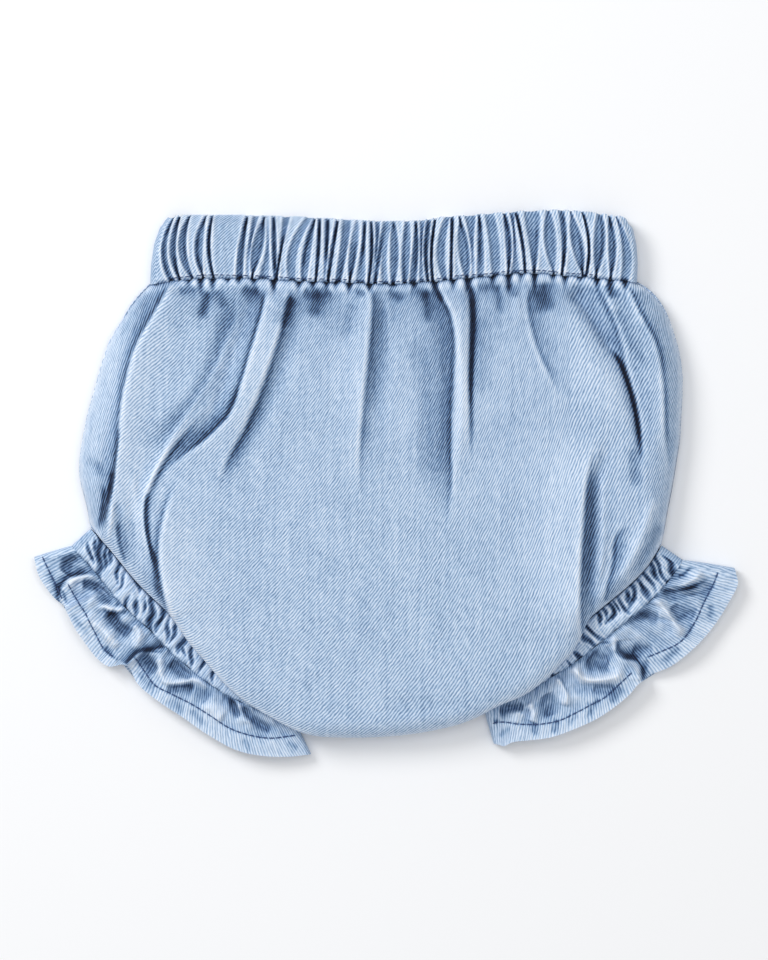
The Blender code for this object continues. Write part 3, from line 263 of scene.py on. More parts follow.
RIGHT_FRILL_FOLDS = (
    (1.3, 2.4, ((662, 577), (670, 584), (684, 586), (697, 578), (704, 568))),
    (-1.3, 2.4, ((654, 584), (668, 591), (690, 593), (714, 580))),
    (1.4, 2.6, ((642, 601), (656, 603), (668, 611), (677, 624), (684, 638))),
    (-1.2, 2.8, ((672, 603), (684, 612), (697, 618))), (-1.4, 3.2, ((632, 612), (646, 615), (660, 622))),
    (-0.9, 2.6, ((630, 650), (640, 652), (652, 650))),
    (1.2, 2.2, ((588, 641), (600, 643), (612, 641), (616, 652))),
    (-2.0, 3.6, ((590, 654), (600, 661), (612, 664))),
    (1.4, 2.4, ((570, 664), (580, 673), (596, 680), (614, 679), (628, 668))),
    (-1.0, 2.4, ((590, 690), (602, 691), (614, 690))), (1.2, 2.2, ((556, 676), (562, 690), (564, 706))),
    (-1.4, 2.8, ((544, 694), (550, 706), (552, 718))), (1.0, 2.2, ((526, 701), (534, 710), (534, 722))),
    (-1.3, 2.6, ((500, 712), (512, 709), (524, 705))),
)

# ---- what only this dressed model has -----------------------------------------------------------
FINER = 8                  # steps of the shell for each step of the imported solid's mesh
BAND_MESH = (61, 2, 21, 6)  # plain columns on the upper side, at a turn and on the lower side, rows
LEG_BAND_MESH = (43, 2, 13, 4)
FRILL_MESH = (49, 2, 19)
# Where the plain meshes' rows lie, as shares of the way down a piece.
FRONT_ROWS = (0.0, 0.018, 0.045, 0.085, *np.linspace(0.13, 0.90, 13), 0.935, 0.965, 0.985, 1.0)
BACK_ROWS = (*np.linspace(0, 0.93, 8), 0.965, 0.985, 0.995, 1.0)
FRILL_ROWS = (0.0, 0.10, 0.20, 0.31, 0.43, 0.56, 0.70, 0.85, 1.0)
SEAM_ROWS = 60             # the rows of the body near enough to the waist seam to be shaped by it
PATH_NEAR = 45.0           # millimetres round a path within which it shapes the cloth
FAR_AWAY = 99.0            # the distance given to what lies further from it
TINY = 1e-9
SHARP_ANGLE = 72           # degrees between two faces past which their edge isn't smoothed
INSIDE_DARKER = 0.1        # how much darker the inside of the cloth is coloured

# How the twill leans on the body, in degrees from the waist's line, at millimetres from the middle.
TWILL_PLACES = (-110, -85, -60, -35, 5, 30, 50, 72, 104)
TWILL_LEANS = (50, 46, 46, 49, 56, 61, 65, 69, 65)
STRIP_LEAN = 70.0          # on the strip beyond the left outer fold
CLOTH_LEAN = 50.0          # on the cloth before it was sewn
TWILL_LEVEL = -35.0        # the height on the body, millimetres, from which the leans spread
TWILL_STEP = 0.5           # millimetres

# How each piece is coloured: 0 is the cloth's own blue, above it paler, below it darker. Crests,
# flanks, the band's top edge and its cloth over the seam are paler partly by wear and partly as painted
# highlight; valleys, slits, creases, seams, stitch dents and steep sides are darker partly by kept dye
# and partly as painted shade; the hem, its edge and its roping are wear.
BAND_WEAR_AND_PAINTED_LIGHT = {"plain": 0.02, "crest": 0.66, "valley": -0.46, "slit": -0.95, "top edge": 0.22,
             "over the seam": 0.16, "seam valley": -0.35, "seam": -0.30, "turn": 0.05}
LEG_BAND_WEAR_AND_PAINTED_LIGHT = {"plain": 0.12, "crease": -0.80, "valley": -0.30, "shirr": -0.26, "flank": 0.42,
                 "body seam": -0.35, "ruffle seam": -0.45, "turn": -0.1}
FRILL_WEAR_AND_PAINTED_LIGHT = {"plain": 0.02, "relief": 0.27, "hem": 0.15, "stitching": -0.45, "roping": -0.16,
              "steep": -0.25, "seam": -0.5, "edge": 0.14, "turn": 0.05}
# How much darker the body is coloured, paler below 0. Pucker, seam and under are painted shade, partly
# kept dye; beside a pucker, bulge, side edge and lower edge are painted highlight; upper body is darker
# near the waist; crest is how much paler its large folds' crests are, partly by wear and partly as
# painted highlight, with painted shade along its hollows.
BODY_DYE_AND_PAINTED_LIGHT = {"pucker": 0.80, "beside a pucker": -0.34, "seam": 0.75, "bulge": -0.26, "upper body": 0.24,
            "side edge": -0.30, "lower edge": -0.25, "under": 0.15, "crest": 0.16}

# The rows in which the front rolls under its lower edge: share of the way to the seam where the
# roll is deep, and where it is shallow; share of the drop to the tuck, and from there to the end.
SKIRT = np.array([(0.0, 0.0, 0.0, 0.0), (0.08, 0.2, 0.48, 0.0), (0.55, 0.4, 1.0, 0.0),
                  (1.0, 0.6, 1.0, 0.1), (1.0, 0.8, 1.0, 0.7), (1.0, 1.0, 1.0, 1.0)])

# The studio: lamp, place in metres, width, power.
AMBIENT = 0.45
LAMPS = (("overhead", (0.1, 0.1, 1.6), 1.2, 8.0), ("key", (-1.0, 0.8, 1.2), 0.8, 15.0))
TABLE_HALF = 2.5
TABLE_BELOW = 0.0001       # the table's face is this far under the cloth
LENS, SENSOR = 200.0, 36.0
CAMERA_OVER = 0.006        # the height above the table that is in true scale, metres

# Small puckers under the waist seam: x, y where it ends, depth in millimetres.
PUCKERS = (
    (189, 288, 1.2), (201, 294, 2.0), (213, 291, 2.0), (228, 284, 1.6), (239, 286, 1.4), (254, 286, 1.8),
    (274, 293, 2.6), (299, 292, 1.8), (313, 289, 1.8), (327, 291, 1.8), (335.5, 290, 1.6),
    (349.5, 294, 2.4), (369.5, 293, 2.6), (391, 288, 1.6), (395, 288, 1.2), (414, 289, 1.8),
    (434.5, 294, 2.2), (453, 290, 2.0), (467, 294, 2.2), (470, 294, 1.2), (492.5, 284, 1.8),
    (508.5, 292, 2.2), (521, 284, 1.2), (534.5, 290, 2.2), (553, 283, 1.4), (565, 287, 1.8),
    (580, 284, 1.2), (597, 290, 2.2), (610, 292, 1.8), (625, 292, 2.0),
)
PUCKER_WIDE = 1.15         # millimetres from the middle of a pucker to its side
SIDE_OVERLAP = 0.38        # how far the front's side edge hangs over the back's
BAND_OVERLAP = 0.75        # how far the band's ridges hang over the waist seam
SEAM_DIP = 1.8             # how far the cloth sinks into the waist seam
SEAM_SOFT = 2.2            # over what distance
SEAM_BULGE = (0.7, 2.8, 1.7)  # rise of the puff under the seam, where it is highest, its reach
BODY_SMALL = (-3.8, 3.0)   # the small folds together stay between these

# Where the body's cloth steps up sharply to an edge: height of the step, reach of the lift on the
# high and on the low side, how much shade is painted on the low side under the edge, how far, and
# the edge's path in pixels, walked with the high side on the left hand. A pale line is painted as
# highlight along the high side.
BODY_LAPS = (
    (1.5, 6.0, 3.5, 0.85, 3.2, ((172, 283), (160, 305), (145, 331), (135, 351), (129, 373), (124, 395),
     (121, 420), (119, 445), (116, 470), (113, 490), (109, 510), (106, 526))),
    (1.6, 4.0, 3.2, 1.0, 3.8, ((268, 288), (263, 312), (257, 334), (250, 357), (244, 378), (237, 400),
     (229, 417), (219, 428), (205, 441), (190, 452), (176, 463), (163, 475), (152, 486))),
    (2.0, 2.4, 3.6, 0.8, 2.6, ((158, 575), (153, 556), (149, 540), (147, 520), (147.5, 503), (151.5, 487),
     (158, 473), (166, 459), (176, 445), (188, 430), (200, 415), (209, 402))),
    (2.4, 7.0, 3.0, 0.8, 2.6, ((181, 474), (172, 495), (165, 516), (161, 538), (160.5, 560), (163, 581),
     (168, 605), (172, 620))),
    (1.5, 4.0, 3.4, 0.85, 4.4, ((215, 505), (220, 482), (227, 462), (236, 445), (245, 429), (252, 413),
     (259, 397), (265, 380), (272, 360), (278, 341), (283, 322), (287, 304), (290, 288))),
    (1.1, 3.5, 3.0, 0.66, 3.6, ((360, 505), (359, 478), (359.5, 452), (361, 430), (363, 408), (365, 388),
     (367, 368), (369, 345), (371, 322), (372, 302), (370, 285))),
    (1.5, 2.6, 5.5, 0.92, 7.5, ((436, 284), (442, 297), (450, 312), (454, 330), (455, 350), (454, 375),
     (453, 400), (452, 425), (452, 455), (452, 485), (449, 512), (444, 540))),
    (1.0, 2.6, 2.2, 1.1, 2.0, ((471, 470), (469, 445), (468.5, 420), (468.5, 400), (469, 380), (470, 360),
     (471, 340), (471.5, 320), (471, 300), (468, 284))),
    (0.9, 4.0, 5.0, 0.5, 6.0, ((560, 402), (549, 377), (541, 360), (535, 345), (531, 330), (528, 315),
     (527, 300), (530, 286))),
    (2.2, 3.6, 2.4, 0.48, 2.4, ((598, 285), (605, 300), (612, 316), (618, 333), (622, 350), (626, 369),
     (631, 388), (636, 408), (639, 428), (641, 448), (641, 474))),
    (1.2, 3.5, 3.0, 0.72, 3.6, ((671, 486), (667, 460), (664, 435), (663, 410), (662, 388), (660, 368),
     (657, 352), (652, 338), (645, 325), (638, 312), (632, 298), (626, 284))),
    (2.4, 8.0, 3.5, 0.75, 5.4, ((581, 640), (579, 615), (579, 590), (580, 560), (582, 530), (584, 500),
     (587, 476), (592, 455), (600, 432))),
    (1.1, 2.4, 4.0, 0.7, 5.0, ((602, 602), (606, 582), (611, 562), (612, 546), (616, 533), (625, 526),
     (635, 531))),
)

# Softer hollows and crests between them: rise, reach, how much shade is painted in a hollow, partly
# as kept dye, with highlight painted on a crest below 0, and path.
BODY_SWELLS = (
    (-1.3, 3.6, 0.52, ((236, 294), (228, 322), (220, 348), (211, 374), (200, 394), (185, 412), (165, 434),
     (145, 455))),
    (-1.2, 1.8, 0.75, ((208, 290), (206, 304), (200, 322))),
    (-1.0, 2.4, 0.65, ((292, 296), (288, 310), (282, 330))),
    (-0.9, 3.5, 0.62, ((330, 288), (318, 304), (312, 322))),
    (-1.5, 2.6, 0.22, ((570, 290), (585, 307), (598, 325), (608, 342), (618, 358))),
    (-0.9, 2.6, 0.35, ((612, 306), (622, 325), (631, 342), (640, 360), (646, 376))),
    (-0.9, 4.0, 0.62, ((541, 282), (543, 296), (548, 316))),
    (1.1, 1.8, -0.2, ((604, 466), (601, 495), (601, 528), (600, 558), (595, 584), (588, 608))),
    (1.0, 2.2, -0.2, ((655, 495), (648, 515), (640, 535), (630, 555), (620, 572), (608, 592))),
    (-0.8, 2.2, 0.3, ((660, 520), (652, 540), (641, 560), (628, 580))),
    (-1.6, 1.2, 1.0, ((114, 468), (112, 485), (109, 500), (106, 515), (104, 532))),
    (-0.7, 1.6, 0.35, ((119, 498), (121, 522), (126, 545), (130, 566))),
    (-0.5, 2.0, 0.14, ((95, 462), (100, 470), (108, 478))),
    (0.8, 1.8, -0.2, ((134, 470), (137, 500), (140, 530), (143, 560), (147, 586))),
    (-1.5, 0.9, 1.3, ((609, 347), (619, 362), (627, 382), (633, 402), (637, 424), (639, 444), (640, 466))),
    (-1.2, 0.8, 1.2, ((150, 489), (147, 505), (147, 522), (150, 540), (154, 556), (158, 572))),
    (-0.8, 0.7, 0.8, ((121, 424), (118.5, 448), (115.5, 470), (112, 490), (108, 512))),
    (-1.2, 0.9, 1.1, ((468, 283), (470.5, 298), (471.5, 318), (471, 338), (470, 370), (470, 412))),
    (-1.0, 0.8, 0.9, ((435, 283), (438, 292), (443, 303))),
    (-0.6, 2.6, 0.55, ((242, 288), (252, 292), (262, 289))),
    (-0.6, 2.6, 0.52, ((303, 291), (312, 294), (322, 290))),
    (-0.5, 2.4, 0.48, ((476, 288), (488, 286), (500, 284))),
    (-0.5, 2.4, 0.55, ((410, 288), (421, 292), (432, 297))),
    (-0.5, 2.2, 0.6, ((606, 283), (611, 291), (613, 301))),
    (-0.5, 1.6, 0.55, ((354, 288), (361, 293), (368, 291))),
    (-0.6, 2.2, 0.45, ((215, 290), (222, 300), (228, 310))),
    (-0.6, 2.0, 0.5, ((508, 284), (513, 292), (516, 300))),
    (-0.5, 1.8, 0.45, ((178, 292), (190, 290), (200, 294))),
    (-0.5, 2.0, 0.55, ((388, 290), (397, 296), (405, 300))),
    (-0.35, 4.0, 0.07, ((378, 702), (420, 706), (470, 702), (520, 690))),
    (-0.5, 4.0, 0.22, ((415, 330), (425, 380), (428, 440), (430, 500))),
    (0.8, 1.3, -0.3, ((148, 505), (153, 482), (164, 456), (178, 431), (194, 407), (209, 384), (222, 358),
     (233, 330), (241, 305))),
    (-0.7, 3.2, 0.34, ((241, 385), (228, 410), (205, 431), (183, 446), (166, 463))),
    (-0.4, 2.4, 0.4, ((592, 466), (591, 500), (589, 540), (588, 580), (587, 612))),
    (-0.8, 1.3, 0.75, ((152, 548), (156, 566), (158, 586), (162, 604))),
    (0.5, 1.3, -0.12, ((146, 302), (130, 335), (119, 370), (112, 410), (109, 450))),
    (-0.4, 1.6, 0.06, ((118, 340), (106, 380), (101, 420), (98, 455))),
    (-0.5, 2.2, 0.16, ((88, 458), (97, 466), (108, 472))),
    (-0.4, 3.0, 0.26, ((640, 318), (650, 338), (657, 360), (660, 385))),
    (-0.9, 0.8, 0.8, ((106, 484), (104, 500), (101, 520), (99, 534))),
    (0.7, 0.9, -0.3, ((114, 500), (113, 518), (110, 534), (108, 546))),
    (-0.7, 0.9, 0.6, ((119, 520), (120, 536), (123, 552), (128, 568))),
    (-0.4, 3.0, 0.26, ((262, 400), (250, 428), (238, 452), (230, 478))),
    (-0.4, 3.2, 0.28, ((382, 300), (380, 340), (376, 380), (372, 420))),
    (-0.5, 2.2, 0.36, ((632, 446), (634, 470), (634, 492))),
    (0.5, 2.0, -0.16, ((461, 300), (461, 360), (460, 420), (459, 480))),
    (-0.3, 3.4, 0.22, ((480, 310), (481, 360), (480, 410))),
    (0.1, 4.0, -0.16, ((128, 328), (108, 380), (101, 430), (98, 470))),
    (0.1, 3.6, -0.2, ((573, 296), (588, 310), (602, 324), (612, 340))),
    (-0.5, 2.0, 0.24, ((352, 300), (349, 320), (345, 345))),
    (0.5, 1.6, -0.14, ((386, 292), (388, 312), (388, 336))),
    (-0.6, 1.6, 0.4, ((424, 290), (427, 306), (428, 326))),
    (-0.6, 1.5, 0.4, ((497, 284), (499, 300), (500, 318))),
    (0.6, 1.6, -0.16, ((515, 286), (517, 304), (519, 326))),
)

# Creases of the shirred leg bands: depth, half width in millimetres, path in pixels.
LEFT_CREASES = (
    (1.0, 0.9, ((101, 528), (100, 550), (100, 578))), (0.8, 0.6, ((88, 543), (93, 562))),
    (0.8, 0.6, ((108, 543), (104, 572))), (0.7, 0.5, ((113, 548), (108, 567))),
    (0.8, 0.6, ((121, 548), (117, 582))), (0.7, 0.6, ((127, 570), (118, 592))),
    (0.8, 0.6, ((135, 573), (140, 592))), (0.8, 0.6, ((130, 596), (123, 612))),
    (0.8, 0.6, ((139, 596), (134, 617))), (0.7, 0.5, ((147, 598), (142, 614))),
    (1.0, 0.9, ((153, 597), (150, 634))), (0.9, 0.7, ((166, 603), (156, 632))),
    (0.8, 0.6, ((170, 618), (166, 642))), (0.8, 0.6, ((178, 623), (170, 643))),
    (0.9, 0.7, ((187, 633), (178, 652))), (0.8, 0.6, ((194, 643), (190, 667))),
    (0.8, 0.6, ((206, 653), (200, 674))), (0.8, 0.6, ((216, 666), (212, 683))),
    (0.7, 0.5, ((93, 536), (98, 552))), (0.6, 0.5, ((160, 600), (168, 613))),
    (0.7, 0.5, ((181, 640), (187, 655))),
)
RIGHT_CREASES = (
    (1.0, 0.7, ((660, 546), (668, 560), (676, 575), (685, 579))),
    (0.9, 0.6, ((652, 551), (662, 575), (669, 584))), (0.9, 0.6, ((647, 560), (655, 575), (661, 584))),
    (0.9, 0.6, ((641, 568), (650, 580), (654, 590))), (0.9, 0.6, ((636, 578), (644, 590), (651, 600))),
    (0.9, 0.7, ((629, 583), (635, 598), (629, 608))), (0.8, 0.6, ((624, 590), (631, 604))),
    (0.9, 0.6, ((619, 596), (627, 614))), (1.0, 0.6, ((607, 600), (613, 615), (607, 624))),
    (0.8, 0.5, ((601, 604), (607, 620))), (0.9, 0.6, ((596, 608), (601, 624))),
    (0.9, 0.7, ((583, 623), (592, 633), (602, 639))), (0.9, 0.6, ((578, 630), (585, 640), (597, 645))),
    (0.9, 0.6, ((575, 650), (581, 662))), (0.9, 0.7, ((551, 670), (564, 692))),
    (0.8, 0.6, ((529, 688), (539, 702))), (0.7, 0.5, ((565, 660), (572, 670))),
    (0.7, 0.5, ((613, 600), (619, 612))),
)

# The stitching that holds each hem, in the photo's pixels.
LEFT_STITCHES = (
    ((42, 556), (50, 573), (57, 588), (62, 599)),
    ((68, 583), (75, 597), (85, 612), (95, 632), (105, 650), (118, 660)),
    ((134, 656), (145, 672), (155, 685), (170, 693), (190, 703), (210, 715), (230, 728), (250, 735),
     (270, 738), (290, 736), (308, 733)),
)
RIGHT_STITCHES = (
    ((718, 572), (713, 585), (705, 600), (695, 622), (680, 642), (660, 652), (646, 658)),
    ((632, 672), (620, 683), (605, 697), (590, 705), (575, 713), (560, 720), (540, 724), (520, 724),
     (500, 722), (484, 726)),
)
# Hollows and crests of the ruffles: rise, reach, how much shade is painted in a hollow, partly as
# kept dye, with highlight painted on a crest below 0, and path.
LEFT_WASH_AND_PAINTED_LIGHT = (
    (-0.5, 2.6, 0.28, ((58, 556), (66, 562), (72, 571))),
    (-0.5, 1.6, 0.28, ((80, 583), (92, 587), (100, 592))),
    (-0.7, 1.5, 0.35, ((94, 597), (104, 602), (113, 605))),
    (-0.7, 2, 0.38, ((106, 612), (117, 621), (131, 633))),
    (-0.7, 2.2, 0.38, ((142, 655), (150, 663), (157, 675))),
    (-0.5, 2.3, 0.3, ((163, 662), (178, 667), (191, 677))),
    (-0.5, 2, 0.33, ((168, 685), (190, 688), (207, 692), (220, 690))),
    (-0.8, 1.3, 0.42, ((222, 692), (230, 704), (241, 719))),
    (-0.6, 1.9, 0.33, ((240, 704), (250, 717), (266, 726), (284, 729))),
    (-0.4, 0.7, 0.71, ((129, 663), (135, 655), (150, 652), (162, 648), (168, 640))),
    (-0.4, 0.7, 0.6, ((60, 588), (63, 598), (67, 608))),
    (-0.4, 0.6, 0.6, ((113, 594), (118, 600), (113, 608))),
    (-0.3, 1.5, 0.4, ((50, 572), (56, 588), (62, 602))),
    (-0.3, 1.4, 0.5, ((102, 646), (108, 652), (116, 658))),
    (-0.3, 1.7, 0.36, ((138, 670), (146, 684), (156, 694))),
    (-0.3, 2, 0.42, ((164, 698), (176, 706), (188, 716))),
    (-0.3, 1.6, 0.4, ((194, 710), (200, 719), (206, 730))),
    (-0.2, 1.2, 0.34, ((286, 743), (292, 746), (298, 747))),
    (-0.2, 1.2, 0.3, ((240, 741), (247, 746), (252, 752))),
    (-0.2, 1.2, 0.3, ((74, 612), (82, 626), (90, 640))),
    (0.5, 0.9, -0.25, ((66, 584), (72, 578), (84, 575.5), (98, 576.5))),
    (0.7, 0.9, -0.28, ((98, 607), (110, 610.5), (121, 609), (128, 600))),
    (0.5, 1.6, -0.17, ((96, 622), (108, 635), (120, 643))),
    (0.6, 1.3, -0.22, ((133, 622), (138, 634), (134, 646))),
    (0.5, 1.2, -0.22, ((160, 652), (161, 668), (163, 680))),
    (0.5, 1.2, -0.22, ((164, 682), (190, 681), (216, 680))),
    (0.5, 1, -0.19, ((230, 690), (238, 703), (246, 716))),
    (0.4, 1.6, -0.14, ((206, 702), (216, 712), (226, 720))),
)
RIGHT_WASH_AND_PAINTED_LIGHT = (
    (-0.6, 0.8, 0.71, ((679, 576), (685, 575), (693, 567))),
    (-0.5, 0.8, 0.6, ((654, 584), (668, 589), (686, 591), (703, 585))),
    (-0.4, 2.6, 0.2, ((664, 592), (684, 600), (704, 594), (716, 580))),
    (-0.6, 1.2, 0.3, ((670, 612), (680, 616), (692, 613))),
    (-0.5, 2.2, 0.28, ((630, 613), (642, 614), (656, 618))),
    (-0.5, 2.2, 0.3, ((624, 655), (636, 650), (650, 652))),
    (-0.5, 0.7, 0.75, ((581, 639), (590, 644), (602, 643), (613, 641))),
    (-0.5, 0.7, 0.75, ((616, 641), (616, 650), (622, 655), (633, 657), (641, 661))),
    (-0.4, 2.4, 0.28, ((587, 648), (590, 662), (602, 670), (618, 670))),
    (-0.4, 2.6, 0.17, ((572, 682), (584, 690), (598, 690))),
    (-0.5, 0.7, 0.64, ((553, 671), (560, 680), (567, 694))),
    (-0.4, 2.6, 0.28, ((537, 700), (546, 711), (554, 721))),
    (-0.4, 1.7, 0.26, ((500, 715), (512, 709), (526, 703))),
    (-0.4, 0.8, 0.6, ((482, 726), (492, 721), (503, 718))),
    (-0.3, 1.6, 0.5, ((709, 604), (713, 612), (709, 622))),
    (-0.3, 1.6, 0.5, ((678, 646), (671, 654), (664, 663))),
    (-0.4, 1.5, 0.35, ((650, 662), (646, 670), (643, 677))),
    (-0.3, 1.8, 0.6, ((620, 684), (614, 694), (609, 704))),
    (-0.3, 1.5, 0.5, ((600, 700), (594, 709), (588, 719))),
    (-0.3, 1.5, 0.55, ((560, 721), (555, 728), (551, 736))),
    (-0.3, 1.4, 0.5, ((537, 720), (534, 728), (533, 735))),
    (-0.3, 1.3, 0.4, ((696, 625), (690, 634), (684, 644))),
    (-0.2, 1.2, 0.3, ((580, 712), (574, 720), (570, 728))),
    (-0.2, 1.2, 0.34, ((512, 728), (504, 731), (496, 737))),
    (0.8, 1, -0.28, ((659, 574), (668, 583), (684, 585.5), (700, 578), (706, 570))),
    (0.7, 1, -0.22, ((641, 600), (655, 602), (668, 611), (678, 624), (686, 637))),
    (0.8, 1, -0.28, ((588, 640), (600, 638), (612, 637), (617, 645))),
    (0.8, 1.4, -0.28, ((570, 662), (580, 673), (596, 680), (613, 678), (625, 668))),
    (0.6, 1, -0.25, ((557, 678), (564, 692), (565, 706))),
    (0.5, 1, -0.22, ((527, 700), (535, 708), (536, 718))),
    (0.4, 1.2, -0.17, ((505, 716), (520, 714), (532, 716))),
)
FRILL_GATHERS = 34         # how many gathers run out from each ruffle's seam
# Each gather's least and greatest: width and length as shares of the ruffle's, rise in millimetres.
GATHER_WIDE = (0.0048, 0.0105)
GATHER_LONG = (0.25, 0.95)
GATHER_RISE = (0.35, 0.85)
GATHER_LEAN = (-0.035, 0.035)
GATHER_BOW = (-0.03, 0.03)
CRUMPLE_SIZES = (5.5, 3.4, 2.2)
CRUMPLE_RISE = 0.055
FRILL_FOLD_SCALE = (1.25, 0.72)  # on the folds' charted rises and reaches
FRILL_FOLDED = 1.35        # and on their height together
HEM_RISE, STITCH_DENT, HEM_ROPE = 0.4, 0.3, 0.10
LAP_CRISP = 0.62           # millimetres over which a lap's step rises
LEG_OVERLAP = 0.65         # how far a leg band's ridges hang over the ruffle's seam
STITCH_LONG = 2.3
STITCH_GAP = 0.35
THREAD_THICK = 0.58
THREAD_SIDES, THREAD_RINGS = 6, 7
WAIST_STITCH = (1.7, 0.6, 0.42)  # the waist's stitches: length, gap, thickness
WAIST_STITCH_UP = 1.2      # how far above the waist seam they lie, pixels

# Where a ruffle's cloth laps over itself, with the same columns as BODY_LAPS.
LEFT_LAPS = (
    (2.2, 4.0, 5.0, 1.0, 3.0, ((100, 578), (90, 575.5), (78, 576), (67, 580), (61, 589), (60, 600),
     (66, 610))),
    (1.3, 3.0, 3.0, 0.6, 2.0, ((104, 607), (113, 611), (122, 610), (128, 606))),
    (2.6, 4.0, 5.0, 1.0, 3.5, ((168, 647), (155, 650.5), (141, 652), (133, 658), (127, 666))),
)
RIGHT_LAPS = (
    (2.4, 3.0, 5.0, 1.0, 3.0, ((641, 681), (640, 668), (634, 661), (624, 657), (617, 650), (615, 640))),
    (1.2, 2.0, 4.0, 0.7, 3.0, ((716, 577), (705, 583), (690, 589), (672, 588), (660, 582), (655, 574))),
)


def solid_points(points):
    """Millimetres to metres"""
    return np.asarray(points, float) * MM


# ---- colour -------------------------------------------------------------------------------------
def linear(colour):
    """A screen colour in hex to the light values that a material takes"""
    shares = [int(colour[k:k + 2], 16) / 255 for k in (1, 3, 5)]
    return tuple(s / 12.92 if s <= 0.04045 else ((s + 0.055) / 1.055) ** 2.4 for s in shares) + (1.0,)


def add(tree, kind, links=None, **settings):
    """A node with its settings, its inputs given as values or as another node's output"""
    node = tree.nodes.new(kind)
    for name, value in settings.items():
        setattr(node, name, value)
    for place, value in (links or {}).items():
        if isinstance(value, bpy.types.NodeSocket):
            tree.links.new(value, node.inputs[place])
        else:
            node.inputs[place].default_value = value
    return node


def figure(tree, operation, first, second=0.0, third=0.0):
    """The output of a maths node"""
    return add(tree, "ShaderNodeMath", {0: first, 1: second, 2: third}, operation=operation).outputs[0]


# Indigo yarn over white yarn, most of its dye washed out: what was rubbed is nearly white and what
# lay in a fold has kept its blue.  The same steps give the shade painted into creases, slits and under
# laps, and the highlight painted on crests.
INDIGO_STEPS = ((0.00, "#131a2e"), (0.14, "#2a3d5e"), (0.29, "#4d6a90"), (0.44, "#7b99bd"),
                (0.58, "#a5bdd9"), (0.72, "#c8daf0"), (0.86, "#dfeaf9"), (1.00, "#f1f6fd"))


def washed_denim(name, lean, spacing, worn, mottled, contrast=0.30):
    """Cotton twill, indigo warp and white weft, stone washed soft: fine slanting ridges, a dry matt
    face with a little fuzz, and cloudy fading.  lean is the twill's slant from the grain in degrees,
    spacing the distance between two ridges in metres, and worn how pale the cloth is, 0 to 1."""
    cloth = bpy.data.materials.new(name)
    cloth.use_nodes = True
    tree = cloth.node_tree
    face = tree.nodes["Principled BSDF"]
    flat = add(tree, "ShaderNodeUVMap", uv_map="cloth").outputs[0]
    # the point attribute of wear, with the painted shade and highlight of folds, laps and seams
    faded_and_painted_light = add(tree, "ShaderNodeAttribute", attribute_name="faded_and_painted_light").outputs["Fac"]
    turned = add(tree, "ShaderNodeMapping", {0: flat, "Rotation": (0, 0, math.radians(lean))})
    drift = add(tree, "ShaderNodeTexNoise", {"Vector": turned.outputs[0], "Scale": 260.0, "Detail": 2.0})
    places = add(tree, "ShaderNodeSeparateXYZ", {0: turned.outputs[0]})
    across = figure(tree, "MULTIPLY_ADD", drift.outputs["Fac"], spacing * 0.9, places.outputs["X"])
    turn = figure(tree, "MULTIPLY", across, 2 * math.pi / spacing)
    ridge = figure(tree, "SINE", turn)
    # yarns come and go along each ridge: the same noise, drawn out along the twill
    drawn = add(tree, "ShaderNodeMapping", {0: turned.outputs[0], "Scale": (1.0, 0.28, 1.0)})
    yarn = add(tree, "ShaderNodeTexNoise",
               {"Vector": drawn.outputs[0], "Scale": 1500.0, "Detail": 2.0, "Roughness": 0.6})
    slub_map = add(tree, "ShaderNodeMapping", {0: flat, "Scale": (1.0, 0.05, 1.0)})
    slub = add(tree, "ShaderNodeTexNoise", {"Vector": slub_map.outputs[0], "Scale": 700.0, "Detail": 1.0})
    cloud = add(tree, "ShaderNodeTexNoise",
                {"Vector": flat, "Scale": 62.0, "Detail": 5.0, "Roughness": 0.58, "Distortion": 0.3})
    blot = add(tree, "ShaderNodeTexNoise", {"Vector": flat, "Scale": 190.0, "Detail": 3.0})
    tone = figure(tree, "MULTIPLY_ADD", ridge, contrast * 0.34, worn)
    for noise, weight in ((yarn, contrast * 0.9), (slub, 0.16), (cloud, mottled), (blot, mottled * 0.5)):
        tone = figure(tree, "MULTIPLY_ADD", noise.outputs["Fac"], weight,
                      figure(tree, "SUBTRACT", tone, weight * 0.5))
    # wear, painted shade and painted highlight shift the tone
    tone = figure(tree, "MULTIPLY_ADD", faded_and_painted_light, 0.5, tone)
    tinting = add(tree, "ShaderNodeValToRGB", {0: tone})
    steps = tinting.color_ramp.elements
    steps[0].position, steps[0].color = INDIGO_STEPS[0][0], linear(INDIGO_STEPS[0][1])
    steps[1].position, steps[1].color = INDIGO_STEPS[-1][0], linear(INDIGO_STEPS[-1][1])
    for place, colour in INDIGO_STEPS[1:-1]:
        steps.new(place).color = linear(colour)
    tree.links.new(tinting.outputs["Color"], face.inputs["Base Color"])
    height = figure(tree, "MULTIPLY_ADD", yarn.outputs["Fac"], 0.5, ridge)
    raised = add(tree, "ShaderNodeBump", {"Height": height, "Strength": 0.30, "Distance": 0.00018})
    tree.links.new(raised.outputs[0], face.inputs["Normal"])
    face.inputs["Roughness"].default_value = 0.93
    face.inputs["Specular IOR Level"].default_value = 0.25
    face.inputs["Sheen Weight"].default_value = 0.08
    face.inputs["Sheen Roughness"].default_value = 0.6
    face.inputs["Sheen Tint"].default_value = linear("#dfe9f7")
    return cloth


